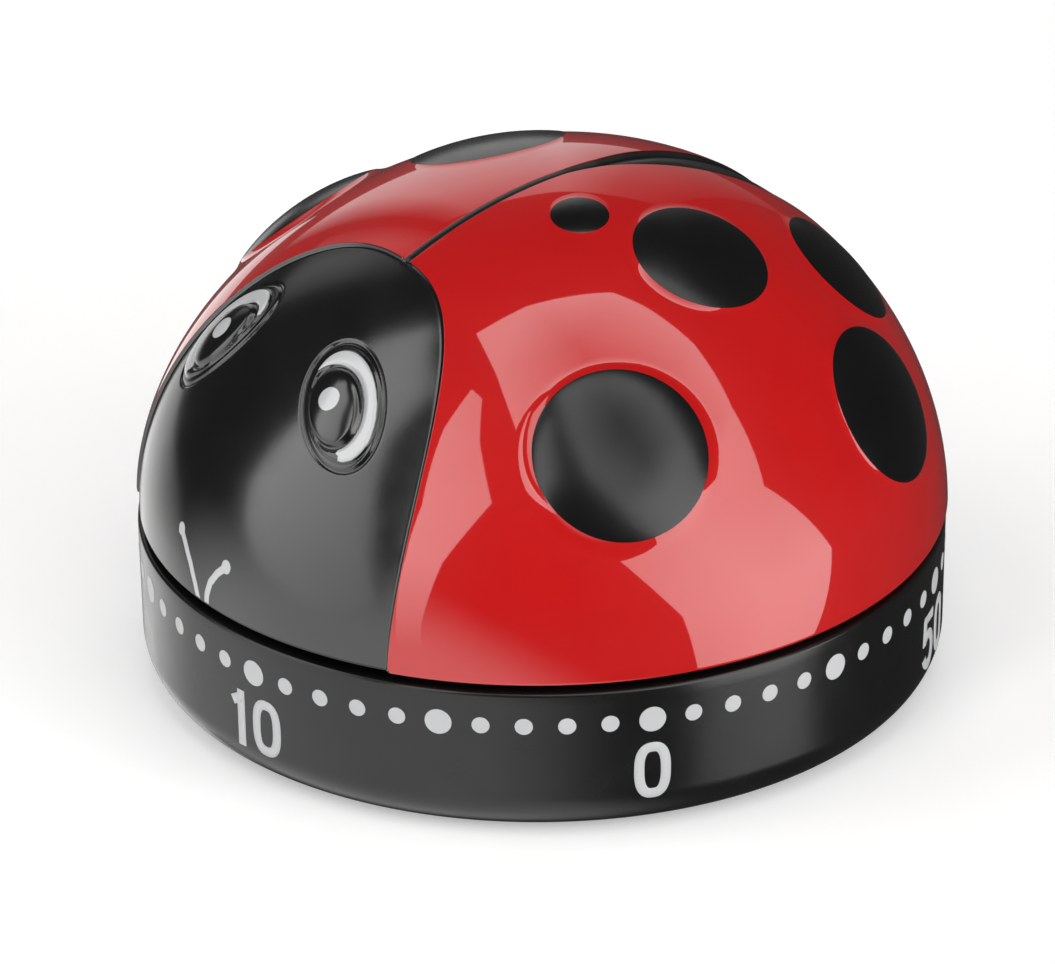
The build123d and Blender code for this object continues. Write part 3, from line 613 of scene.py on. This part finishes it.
def surface(name, dark, light, rough, grain, wave=None, settings=None):
    """Two close tones, roughness in a range, and fine grain over slow waves, each a scale and a height."""
    material, tree, shader = node_material(name)
    tone = scaled(tree, noise(tree, TONE_SCALE), 0, 1)
    tree.links.new(mixed(tree, tone, dark, light), shader.inputs["Base Color"])
    patches = scaled(tree, noise(tree, PATCH_SCALE, 4.0), rough[0], rough[1])
    tree.links.new(patches, shader.inputs["Roughness"])
    below = None
    if wave:
        below = bump(tree, shader, noise(tree, wave[0], 1.0), wave[1])
    bump(tree, shader, noise(tree, grain[0], 2.0), grain[1], below)
    for socket, value in {"IOR": 1.5, **(settings or {})}.items():
        shader.inputs[socket].default_value = value
    return material


# A clear lacquer makes the gloss of the red, so the colour under it hardly shines.
LACQUER = {
    "IOR": 1.45,
    "Specular IOR Level": 0.1,
    "Coat Weight": 1.0,
    "Coat Roughness": 0.03,
    "Coat IOR": 1.7,
}
METAL = {"Metallic": 1.0}
SATIN_DARK = grey(0.0035)
SATIN_LIGHT = grey(0.006)
HEAD_WHITE = (0.54, 0.55, 0.56)
HEAD_IOR = 1.8
PAINT_RAGGED = 0.06  # how far the white paint's edge wanders, in millimetres

red = surface("red_lacquer", (0.49, 0.0045, 0.005), (0.53, 0.006, 0.0065), (0.3, 0.4),
              (1500, 1e-6), (150, 5e-6), LACQUER)
black = surface("black_satin_paint", SATIN_DARK, SATIN_LIGHT, (0.21, 0.26), (3200, 3e-6), (220, 3e-6))
ring_black = surface("black_ring_plastic", grey(0.006), grey(0.009), (0.2, 0.28), (2600, 4e-6), (160, 6e-6))
seam_black = surface("black_seam_paint", (0.004, 0.0035, 0.0035), (0.009, 0.008, 0.008), (0.3, 0.4),
                     (2200, 8e-6))
print_white = surface("white_print", (0.5, 0.51, 0.52), (0.55, 0.56, 0.57), (0.45, 0.55), (2600, 6e-6))


def head_material():
    """Satin black with the white marks where the painted distance is below zero."""
    material, tree, shader = node_material("head_paint")
    tone = scaled(tree, noise(tree, TONE_SCALE), 0, 1)
    dark = mixed(tree, tone, SATIN_DARK, SATIN_LIGHT)
    attribute = tree.nodes.new("ShaderNodeAttribute")
    attribute.attribute_name = "white_gap"
    ragged = tree.nodes.new("ShaderNodeMath")
    ragged.operation = "MULTIPLY_ADD"
    ragged.inputs[1].default_value = PAINT_RAGGED
    tree.links.new(noise(tree, 2500.0, 2.0), ragged.inputs[0])
    tree.links.new(attribute.outputs["Fac"], ragged.inputs[2])
    share = scaled(tree, ragged.outputs[0], 1, 0, -0.01, 0.07)
    made = tree.nodes.new("ShaderNodeMix")
    made.data_type = "RGBA"
    made.inputs["B"].default_value = (*HEAD_WHITE, 1)
    tree.links.new(share, made.inputs["Factor"])
    tree.links.new(dark, made.inputs["A"])
    tree.links.new(made.outputs["Result"], shader.inputs["Base Color"])
    patches = scaled(tree, noise(tree, PATCH_SCALE, 4.0), 0.14, 0.19)
    tree.links.new(patches, shader.inputs["Roughness"])
    shader.inputs["IOR"].default_value = HEAD_IOR
    below = bump(tree, shader, noise(tree, 220.0, 1.0), 3e-6)
    bump(tree, shader, noise(tree, 3200.0, 2.0), 2.5e-6, below)
    return material


head_paint = head_material()


# ---------------------------------------------------------------- mesh helpers
def add_object(name, points, faces, materials, body, instead=(), normals=None, indices=None,
               fields=None):
    """A smooth-shaded mesh from millimetre points, riding on a body."""
    mesh = bpy.data.meshes.new(name)
    mesh.from_pydata((np.asarray(points) * MM).tolist(), [], [list(face) for face in faces])
    for material in materials:
        mesh.materials.append(material)
    if indices is not None:
        mesh.polygons.foreach_set("material_index", np.asarray(indices, dtype=np.int32))
    for key, values in (fields or {}).items():
        field = mesh.attributes.new(key, "FLOAT", "POINT")
        field.data.foreach_set("value", np.asarray(values, dtype=np.float32))
    mesh.shade_smooth()
    if normals is not None:
        mesh.normals_split_custom_set_from_vertices(np.asarray(normals).tolist())
    mesh.update()
    made = bpy.data.objects.new(name, mesh)
    bpy.context.scene.collection.objects.link(made)
    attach(made, body)
    if instead:
        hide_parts(*instead)
    return made


def lathe(profile, count):
    """Points and quads of a closed profile of (radius, height) turned about the axis."""
    profile = np.asarray(profile)
    turn = np.arange(count) * 2 * math.pi / count
    size = len(profile)
    points = np.zeros((count, size, 3))
    points[:, :, 0] = np.outer(np.cos(turn), profile[:, 0])
    points[:, :, 1] = np.outer(np.sin(turn), profile[:, 0])
    points[:, :, 2] = profile[:, 1]
    a, b = np.meshgrid(np.arange(count), np.arange(size), indexing="ij")
    c = (a + 1) % count
    d = (b + 1) % size
    faces = np.stack([a * size + b, c * size + b, c * size + d, a * size + d], -1).reshape(-1, 4)
    return points.reshape(-1, 3), faces


def arc(centre, radius, start, end, count):
    """Points of a round corner, between two angles in degrees."""
    turn = np.radians(np.linspace(start, end, count))
    return [(centre[0] + radius * math.cos(t), centre[1] + radius * math.sin(t)) for t in turn]


# ---------------------------------------------------------------- the dome's pieces
def dome_piece(name, wanted, material, fields=None):
    """The triangles of one paint, as a piece of its own."""
    faces = triangles[wanted]
    used, inverse = np.unique(faces, return_inverse=True)
    faces = inverse.reshape(-1, 3)
    chosen = {key: values[used] for key, values in (fields or {}).items()}
    return add_object(name, skin[used], faces, [material], "dome", ["dome_shell"], normals[used],
                      fields=chosen)


dome_piece("wing_cases", kind == WING, red)
dome_piece("head_shell", kind == HEAD, head_paint, {"white_gap": white})
dome_piece("wing_seam", kind == SEAM, seam_black)
for number in range(len(spots)):
    dome_piece(f"wing_spot_{number + 1}", kind == FIRST_SPOT + number, black)

RIM_CORNER = 0.3  # radius of the rim's two lower corners
RIM_WIDE = 1.9
WALL = 2.2


def rim_rings():
    """Rings from the skin's edge round the rim and up the dome's inside."""
    edge = skin[:RIM_COUNT]
    step_in = RADIUS - np.hypot(edge[:, 0], edge[:, 1])  # the head and the seam lie deeper
    profile = arc((RADIUS - RIM_CORNER, RIM_Z + RIM_CORNER), RIM_CORNER, 0, -90, 7)
    profile.append((RADIUS - RIM_WIDE, RIM_Z))
    profile += arc((RADIUS - RIM_WIDE, RIM_Z + RIM_CORNER), RIM_CORNER, -90, -180, 5)
    rings = [edge]
    for radius, z in profile:
        reach = radius - step_in
        level = np.full(RIM_COUNT, z)
        rings.append(np.stack([reach * np.cos(rim_around), reach * np.sin(rim_around), level], 1))
    share = (RADIUS - WALL) / RADIUS
    for turn in np.linspace(0.03, math.pi / 2 - 0.02, 30):
        middle, radius, z = section(turn)
        x = share * radius * np.cos(rim_around)
        y = share * (middle + radius * np.sin(rim_around))
        level = np.full(RIM_COUNT, RIM_Z + (z - RIM_Z) * (TALL - WALL) / TALL)
        rings.append(np.stack([x, y, level], 1))
    return rings


def add_rim():
    """The rounded rim and the inside, which close the dome below the skin, painted to match it."""
    rings = rim_rings()
    count = RIM_COUNT
    a, b = np.meshgrid(np.arange(len(rings) - 1), np.arange(count), indexing="ij")
    c = (b + 1) % count
    faces = np.stack([a * count + b, (a + 1) * count + b, (a + 1) * count + c, a * count + c], -1)
    below_head = (head_distance(rings[0] + 0.3 * UP) < 0).astype(int)
    add_object("dome_rim", np.concatenate(rings), faces.reshape(-1, 4), [red, black], "dome",
               ["dome_shell"], indices=np.tile(below_head, len(rings) - 1))


add_rim()

# ---------------------------------------------------------------- the ring with its scale
ring_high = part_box("dial_ring")[1]
RING = ring_high.x / MM
NECK_TOP = ring_high.z / MM
RING_TOP = 14.8
DRAFT = 0.25  # how far the side leans out
FOOT = RING - DRAFT
FOOT_ROUND = 4.0
EDGE_ROUND = 0.35
CORNER = 0.3
SIDE_TALL = RING_TOP - EDGE_ROUND - FOOT_ROUND
STEP = (36.6, 35.6)  # radii of the shoulder between the side and the neck
NECK = 34.6
NECK_INSIDE = 33.0
HOLLOW = 35.3
OPENING = 31.1  # radius of the hole that the floor plate closes
FLANGE = 2.2


def ring_profile():
    """The ring's section: foot, side, shoulder and neck outside, then the neck and the hollow inside."""
    profile = [(OPENING, 0.0)]
    profile += arc((FOOT - FOOT_ROUND, FOOT_ROUND), FOOT_ROUND, -90, 0, 26)
    for share in np.linspace(0, 1, 12)[1:-1]:
        profile.append((FOOT + DRAFT * share, FOOT_ROUND + SIDE_TALL * share))
    profile += arc((RING - EDGE_ROUND, RING_TOP - EDGE_ROUND), EDGE_ROUND, 0, 90, 9)
    profile += [(radius, RING_TOP) for radius in STEP]
    profile += arc((NECK + CORNER, RING_TOP + CORNER), CORNER, -90, -180, 5)
    profile.append((NECK, NECK_TOP - CORNER))
    profile += arc((NECK - CORNER, NECK_TOP - CORNER), CORNER, 0, 90, 5)
    profile += arc((NECK_INSIDE + CORNER, NECK_TOP - CORNER), CORNER, 90, 180, 5)
    profile += [(NECK_INSIDE, 13.2), (HOLLOW, 11.2), (HOLLOW, 4.2), (HOLLOW - 2, FLANGE)]
    return profile + [(OPENING, FLANGE), (OPENING, FLANGE / 2)]


ring_points, ring_faces = lathe(ring_profile(), 720)
ring = add_object("scale_ring", ring_points, ring_faces, [ring_black], "base", ["dial_ring"])
ring.data.set_sharp_from_angle(angle=math.radians(35))


def ring_radius(height):
    return FOOT + DRAFT * np.clip((height - FOOT_ROUND) / SIDE_TALL, 0, 1)


def on_ring(across, height, azimuth, rise):
    """Places on the ring's side: across is measured anticlockwise from the azimuth."""
    radius = ring_radius(height) + rise
    turn = math.radians(azimuth) + np.asarray(across) / RING
    return np.stack([radius * np.cos(turn), radius * np.sin(turn), height], 1)


MINUTE_TURN = -19.17  # azimuth of the scale's zero
MINUTE = 6  # degrees
DOT_HEIGHT = 11.5
LARGE_DOT = 1.28
SMALL_DOT = 0.84
NUMBER_HEIGHT = 6.25
INK = 0.035  # height of the print over the ring
INK_EDGE = -0.02  # its edges end a little under the ring's surface
ink_points = []
ink_faces = []


def add_ink(points, faces):
    """Adds points and faces to the one mesh of the print."""
    start = sum(len(group) for group in ink_points)
    ink_points.append(points)
    ink_faces.extend([[start + corner for corner in face] for face in faces])


def add_dot(azimuth, height, radius):
    """A printed dot: a flat top with a rounded edge that runs into the ring."""
    count = 40
    turn = np.arange(count) * 2 * math.pi / count
    points = [on_ring(np.zeros(1), np.array([height]), azimuth, INK)]
    for share, rise in ((0.5, INK), (0.9, INK), (0.97, INK * 0.8), (1.0, INK_EDGE)):
        reach = radius * share
        points.append(on_ring(reach * np.cos(turn), height + reach * np.sin(turn), azimuth, rise))
    faces = [[0, 1 + k, 1 + (k + 1) % count] for k in range(count)]
    for ring_number in range(3):
        low = 1 + ring_number * count
        for k in range(count):
            following = (k + 1) % count
            faces.append([low + k, low + count + k, low + count + following, low + following])
    add_ink(np.concatenate(points), faces)


def add_stroke(path, azimuth, half, closed, rise):
    """A printed stroke of even width along a path of (across, height)."""
    path = np.asarray(path, float)
    before = np.roll(path, 1, axis=0)
    after = np.roll(path, -1, axis=0)
    if not closed:
        before[0] = path[0]
        after[-1] = path[-1]
    to_here = path - before
    onward = after - path
    if not closed:
        to_here[0] = onward[0]
        onward[-1] = to_here[-1]
    to_here /= np.linalg.norm(to_here, axis=1)[:, None]
    onward /= np.linalg.norm(onward, axis=1)[:, None]
    side = to_here + onward
    side /= np.linalg.norm(side, axis=1)[:, None]
    stretch = 1 / np.maximum(np.einsum("ij,ij->i", side, to_here), 0.5)
    side = np.stack([-side[:, 1], side[:, 0]], 1) * stretch[:, None]
    columns = [(-1.0, INK_EDGE), (-0.96, rise), (0.96, rise), (1.0, INK_EDGE)]
    points = []
    for share, lift in columns:
        place = path + side * (half * share)
        points.append(on_ring(place[:, 0], place[:, 1], azimuth, lift))
    size = len(path)
    faces = []
    last = size if closed else size - 1
    for column in range(len(columns) - 1):
        low = column * size
        for k in range(last):
            following = (k + 1) % size
            faces.append([low + k, low + following, low + size + following, low + size + k])
    add_ink(np.concatenate(points), faces)


def curve(centre, half_x, half_y, start, end, count, power=2.0):
    """Points of an oval between two angles in degrees; a higher power makes it squarer."""
    turn = np.radians(np.linspace(start, end, count))
    x = centre[0] + half_x * np.sign(np.cos(turn)) * abs(np.cos(turn)) ** (2 / power)
    y = centre[1] + half_y * np.sign(np.sin(turn)) * abs(np.sin(turn)) ** (2 / power)
    return list(zip(x, y))


DIGIT_TALL = 5.74
DIGIT_WIDE = 3.5
ONE_WIDE = 2.35
DIGIT_GAP = 0.55
STROKE = 0.98


def digit_strokes(figure):
    """Centre lines of a numeral in a box from -1 to 1 across and up, inside the stroke's half width."""
    if figure == "0":
        return [(curve((0, 0), 1, 1, 0, 354, 60, 2.7), True)]
    if figure == "1":
        return [([(0.15, -1.21), (0.15, 1.21)], False), ([(0.35, 0.98), (-0.05, 0.84), (-0.75, 0.62)], False)]
    if figure == "2":
        top = curve((0, 0.45), 1, 0.55, 170, -35, 30)
        return [(top + [(-1.0, -0.8), (-1.0, -1.0)], False), ([(-1.38, -1.0), (1.3, -1.0)], False)]
    if figure == "3":
        upper = curve((0, 0.5), 0.92, 0.5, 165, -90, 30)
        lower = curve((0, -0.48), 1, 0.52, 90, -165, 30)
        return [(upper, False), (lower, False)]
    if figure == "4":
        return [([(0.45, -1.21), (0.45, 1.1)], False), ([(0.3, 1.1), (-1.05, -0.35)], False),
                ([(-1.3, -0.42), (1.35, -0.42)], False)]
    lower = curve((0, -0.35), 1, 0.65, 125, -160, 34)
    return [([(1.2, 1.0), (-1.1, 1.0)], False), ([(-0.72, 1.1), (-0.85, -0.05)], False), (lower, False)]


def add_number(text, azimuth, height):
    """A numeral's figures side by side; strokes that cross differ a little in height."""
    half_size = np.array([DIGIT_WIDE - STROKE, DIGIT_TALL - STROKE]) / 2
    widths = [ONE_WIDE if figure == "1" else DIGIT_WIDE for figure in text]
    total = sum(widths) + DIGIT_GAP * (len(text) - 1)
    start = -total / 2
    level = 0
    for figure, width in zip(text, widths):
        middle = start + width / 2
        for path, closed in digit_strokes(figure):
            path = np.array(path) * half_size + np.array([middle, height])
            add_stroke(path, azimuth, STROKE / 2, closed, INK + 0.002 * (level % 3))
            level += 1
        start += width + DIGIT_GAP


for minute in range(60):
    add_dot(MINUTE_TURN - MINUTE * minute, DOT_HEIGHT, LARGE_DOT if minute % 5 == 0 else SMALL_DOT)
for minute in range(0, 60, 10):
    add_number(str(minute), MINUTE_TURN - MINUTE * minute, NUMBER_HEIGHT)
add_object("scale_print", np.concatenate(ink_points), ink_faces, [print_white], "base")

# ---------------------------------------------------------------- CAD pieces that keep their shape
METALS = {
    "plate_steel": ((0.42, 0.43, 0.45), (0.5, 0.51, 0.53), (0.28, 0.4), (900, 1.5e-5)),
    "arbor_steel": ((0.5, 0.5, 0.52), (0.58, 0.58, 0.6), (0.18, 0.26), (1400, 8e-6)),
    "screw_steel": ((0.36, 0.36, 0.38), (0.46, 0.46, 0.48), (0.25, 0.38), (1200, 1.2e-5)),
    "spring_steel": ((0.16, 0.18, 0.24), (0.24, 0.25, 0.3), (0.25, 0.35), (1300, 8e-6)),
    "bell_steel": ((0.55, 0.56, 0.58), (0.62, 0.63, 0.65), (0.15, 0.24), (500, 1.2e-5)),
    "brass": ((0.6, 0.42, 0.14), (0.68, 0.5, 0.2), (0.24, 0.34), (1000, 1.2e-5)),
}
finishes = {name: surface(name, *look, settings=METAL) for name, look in METALS.items()}
finishes["white_plastic"] = surface("white_plastic", (0.7, 0.7, 0.68), (0.76, 0.76, 0.74), (0.35, 0.45),
                                    (1400, 8e-6))
finishes["black_ring"] = surface("black_cover_plastic", grey(0.008), grey(0.013), (0.42, 0.52), (900, 2.5e-5))
finishes["red_gloss"] = red
finishes["black_satin"] = black
finishes["white_print"] = print_white
subparts = {entry["node"]: entry for entry in frame["record"]["subparts"]}
for node_name, node in frame["nodes"].items():
    finish = finishes[subparts[node_name]["material_slot"]]
    if not node.material_slots:
        node.data.materials.append(finish)
    for entry in node.material_slots:
        entry.link = "OBJECT"
        entry.material = finish

# ---------------------------------------------------------------- floor, light and camera
FLOOR_HALF = 3.0  # metres, like all lengths from here on
FLOOR_GLOW = {"Emission Color": (1, 1, 1, 1), "Emission Strength": 0.36}


def add_floor():
    """A plain pale floor, lifted a little by a glow of its own so that it stays near white."""
    corners = [(x * FLOOR_HALF, y * FLOOR_HALF, 0) for x, y in ((-1, -1), (1, -1), (1, 1), (-1, 1))]
    mesh = bpy.data.meshes.new("floor")
    mesh.from_pydata(corners, [], [(0, 1, 2, 3)])
    mesh.materials.append(surface("pale_floor", grey(0.78), grey(0.8), (0.6, 0.7), (400, 1e-6),
                                  settings=FLOOR_GLOW))
    floor = bpy.data.objects.new("floor", mesh)
    bpy.context.scene.collection.objects.link(floor)
    floor.visible_glossy = False  # the gloss shows the panels and the room, not the floor


add_floor()

LIGHT_CENTRE = np.array([0.0, 0.0, 0.03])
NEAR = 1.4  # distances of the panels
WIDE = 1.6


def direction(azimuth, elevation):
    """Unit vector for an azimuth from +X and an elevation, in degrees."""
    a = math.radians(azimuth)
    e = math.radians(elevation)
    return np.array([math.cos(a) * math.cos(e), math.sin(a) * math.cos(e), math.sin(e)])


def panel(name, rows, strengths, distance):
    """A soft light panel, as rows of (azimuth, elevation) seen from the object and each corner's strength."""
    points = []
    faces = []
    width = len(rows[0])
    for row in rows:
        points += [tuple(LIGHT_CENTRE + distance * direction(*place)) for place in row]
    for r in range(len(rows) - 1):
        for c in range(width - 1):
            k = r * width + c
            faces.append((k, k + 1, k + width + 1, k + width))
    mesh = bpy.data.meshes.new(name)
    mesh.from_pydata(points, [], faces)
    material = bpy.data.materials.new(name)
    material.use_nodes = True
    nodes = material.node_tree.nodes
    nodes.remove(nodes["Principled BSDF"])
    corner_glow = mesh.attributes.new("glow", "FLOAT", "POINT")
    corner_glow.data.foreach_set("value", np.ravel(strengths).astype(np.float32))
    glow = nodes.new("ShaderNodeEmission")
    lamp = nodes.new("ShaderNodeAttribute")
    lamp.attribute_name = "glow"
    material.node_tree.links.new(lamp.outputs["Fac"], glow.inputs["Strength"])
    glow.inputs["Color"].default_value = (1.0, 0.995, 0.985, 1)
    material.node_tree.links.new(glow.outputs[0], nodes["Material Output"].inputs["Surface"])
    mesh.materials.append(material)
    made = bpy.data.objects.new(name, mesh)
    bpy.context.scene.collection.objects.link(made)
    made.visible_camera = False


# A large light on the +X side, darker along the middle of its upper part.
panel("light_right", [
    [(10, -30), (28, -30), (46, -30)],
    [(3, -4), (27, -4), (51, -4)],
    [(-15, 24), (10, 24), (37, 24)],
    [(-34, 45), (10, 45), (47, 45)],
    [(-54, 65), (10, 66), (67, 59)],
    [(-100, 76), (60, 86), (92, 68)],
    [(-149, 72), (173, 76), (112, 71)],
], [
    [2.4, 2.8, 2.4],
    [2.8, 3.3, 3.0],
    [2.3, 3.0, 2.5],
    [2.4, 0.7, 2.5],
    [2.4, 0.3, 2.6],
    [2.6, 1.2, 2.6],
    [2.7, 2.7, 2.7],
], NEAR)
# A narrow upright light before the head's +X edge, whose foot is as bright as the room there.
panel("light_front", [
    [(-74, -15), (-67, -14)],
    [(-74, -4), (-67, -3)],
    [(-75, 21), (-64, 21)],
    [(-77, 38), (-54, 43)],
    [(-90, 59), (-70, 60)],
    [(-100, 70), (-88, 70)],
], [[1.28, 1.28], [1.9, 1.8], [3.0, 2.8], [3.0, 2.5], [2.8, 2.4], [2.4, 2.2]], NEAR)
# A wide light before the head, towards -X.
panel("light_left", [
    [(-120, -3), (-105, -8), (-88, -11)],
    [(-127, 4), (-105, 3), (-81, 2)],
    [(-132, 14), (-108, 14), (-84, 14)],
    [(-134, 28), (-112, 28), (-89, 28)],
    [(-137, 38), (-116, 38), (-96, 38)],
    [(-152, 50), (-130, 50), (-106, 50)],
    [(-156, 62), (-136, 63), (-116, 64)],
], [
    [1.6, 1.5, 1.2],
    [1.9, 1.6, 1.3],
    [2.3, 1.8, 1.4],
    [2.5, 2.0, 1.6],
    [2.3, 2.0, 1.8],
    [2.0, 2.0, 2.0],
    [2.0, 2.0, 2.0],
], NEAR)
# Three dim lights on the -X side, the last one below the object's level.
panel("light_behind", [
    [(168, 2), (162, 2), (146, 2), (137, 2), (126, 2)],
    [(168, 22), (162, 22), (146, 22), (137, 20), (126, 20)],
    [(168, 38), (162, 38), (146, 38), (137, 38), (126, 36)],
], [[0.0, 1.0, 1.0, 0.3, 0.1], [0.0, 1.0, 1.0, 0.35, 0.1], [0.0, 0.6, 0.8, 0.3, 0.1]], WIDE)
panel("light_far", [
    [(-176, 14), (176, 14), (170, 14)],
    [(-176, 30), (176, 30), (170, 30)],
    [(-176, 44), (176, 44), (170, 44)],
], [[0.2, 0.5, 0.1], [0.3, 0.6, 0.1], [0.1, 0.3, 0.1]], WIDE)
panel("light_low", [
    [(-158, -8), (-178, -6), (160, -4)],
    [(-150, -22), (-178, -22), (160, -22)],
    [(-150, -42), (-178, -42), (160, -42)],
], [[0.2, 0.8, 1.2], [0.9, 1.4, 1.5], [1.0, 1.4, 1.4]], WIDE)

world = bpy.data.worlds.new("studio")
bpy.context.scene.world = world
world.use_nodes = True
world_tree = world.node_tree
shade = world_tree.nodes["Background"]
shade.inputs["Color"].default_value = (1, 1, 1, 1)


ROOM_DARK = 0.05
ROOM_LIGHT = 1.3
BACKDROP = 1.0
ROOM_LIGHT_TOWARDS = (-95, -45)  # azimuth and elevation of the room's light side

# The room is dim, lighter low down before the ladybird, and white where the camera looks.
place = world_tree.nodes.new("ShaderNodeTexCoord")
towards = world_tree.nodes.new("ShaderNodeVectorMath")
towards.operation = "DOT_PRODUCT"
towards.inputs[1].default_value = tuple(direction(*ROOM_LIGHT_TOWARDS))
world_tree.links.new(place.outputs["Generated"], towards.inputs[0])
glow = world_tree.nodes.new("ShaderNodeMapRange")
glow.interpolation_type = "SMOOTHSTEP"
glow.inputs["From Min"].default_value = 0.42
glow.inputs["From Max"].default_value = 0.82
glow.inputs["To Min"].default_value = ROOM_DARK
glow.inputs["To Max"].default_value = ROOM_LIGHT
world_tree.links.new(towards.outputs["Value"], glow.inputs["Value"])
rays = world_tree.nodes.new("ShaderNodeLightPath")
level = world_tree.nodes.new("ShaderNodeMix")
level.inputs["B"].default_value = BACKDROP
world_tree.links.new(rays.outputs["Is Camera Ray"], level.inputs["Factor"])
world_tree.links.new(glow.outputs["Result"], level.inputs["A"])
world_tree.links.new(level.outputs["Result"], shade.inputs["Strength"])

scene = bpy.context.scene
scene.view_settings.view_transform = "Standard"
scene.view_settings.exposure = 0.0

AZIMUTH = 55.6
ELEVATION = 27.1
DISTANCE = 1.0816
LENS = 397.7
PAN = -0.0689  # small turns off the line to the middle of the ring's top
TILT = 0.1141
ROLL = -0.5398


def camera_pose():
    """The camera's matrix: it looks at the middle of the ring's top, then pans, tilts and rolls a little."""
    turn = math.radians(AZIMUTH)
    lift = math.radians(ELEVATION)
    right = np.array([math.cos(turn), math.sin(turn), 0.0])
    back = np.array([math.sin(turn) * math.cos(lift), -math.cos(turn) * math.cos(lift), math.sin(lift)])
    rows = np.array([right, np.cross(right, -back), -back])
    pan, tilt, roll = [math.radians(angle) for angle in (PAN, TILT, ROLL)]
    by_pan = np.array([[math.cos(pan), 0, -math.sin(pan)], [0, 1, 0], [math.sin(pan), 0, math.cos(pan)]])
    by_tilt = np.array([[1, 0, 0], [0, math.cos(tilt), -math.sin(tilt)], [0, math.sin(tilt), math.cos(tilt)]])
    by_roll = np.array([[math.cos(roll), math.sin(roll), 0], [-math.sin(roll), math.cos(roll), 0], [0, 0, 1]])
    rows = by_roll @ by_tilt @ by_pan @ rows
    pose = np.eye(4)
    pose[:3, 0] = rows[0]
    pose[:3, 1] = rows[1]
    pose[:3, 2] = -rows[2]
    pose[:3, 3] = RING_TOP * MM * UP + DISTANCE * back
    return pose


camera_data = bpy.data.cameras.new("camera")
camera_data.sensor_width = 36.0
camera_data.lens = LENS
camera_data.clip_start = 0.05
camera_data.clip_end = 20.0
camera = bpy.data.objects.new("camera", camera_data)
camera.matrix_world = Matrix(camera_pose().tolist())
scene.collection.objects.link(camera)
scene.camera = camera
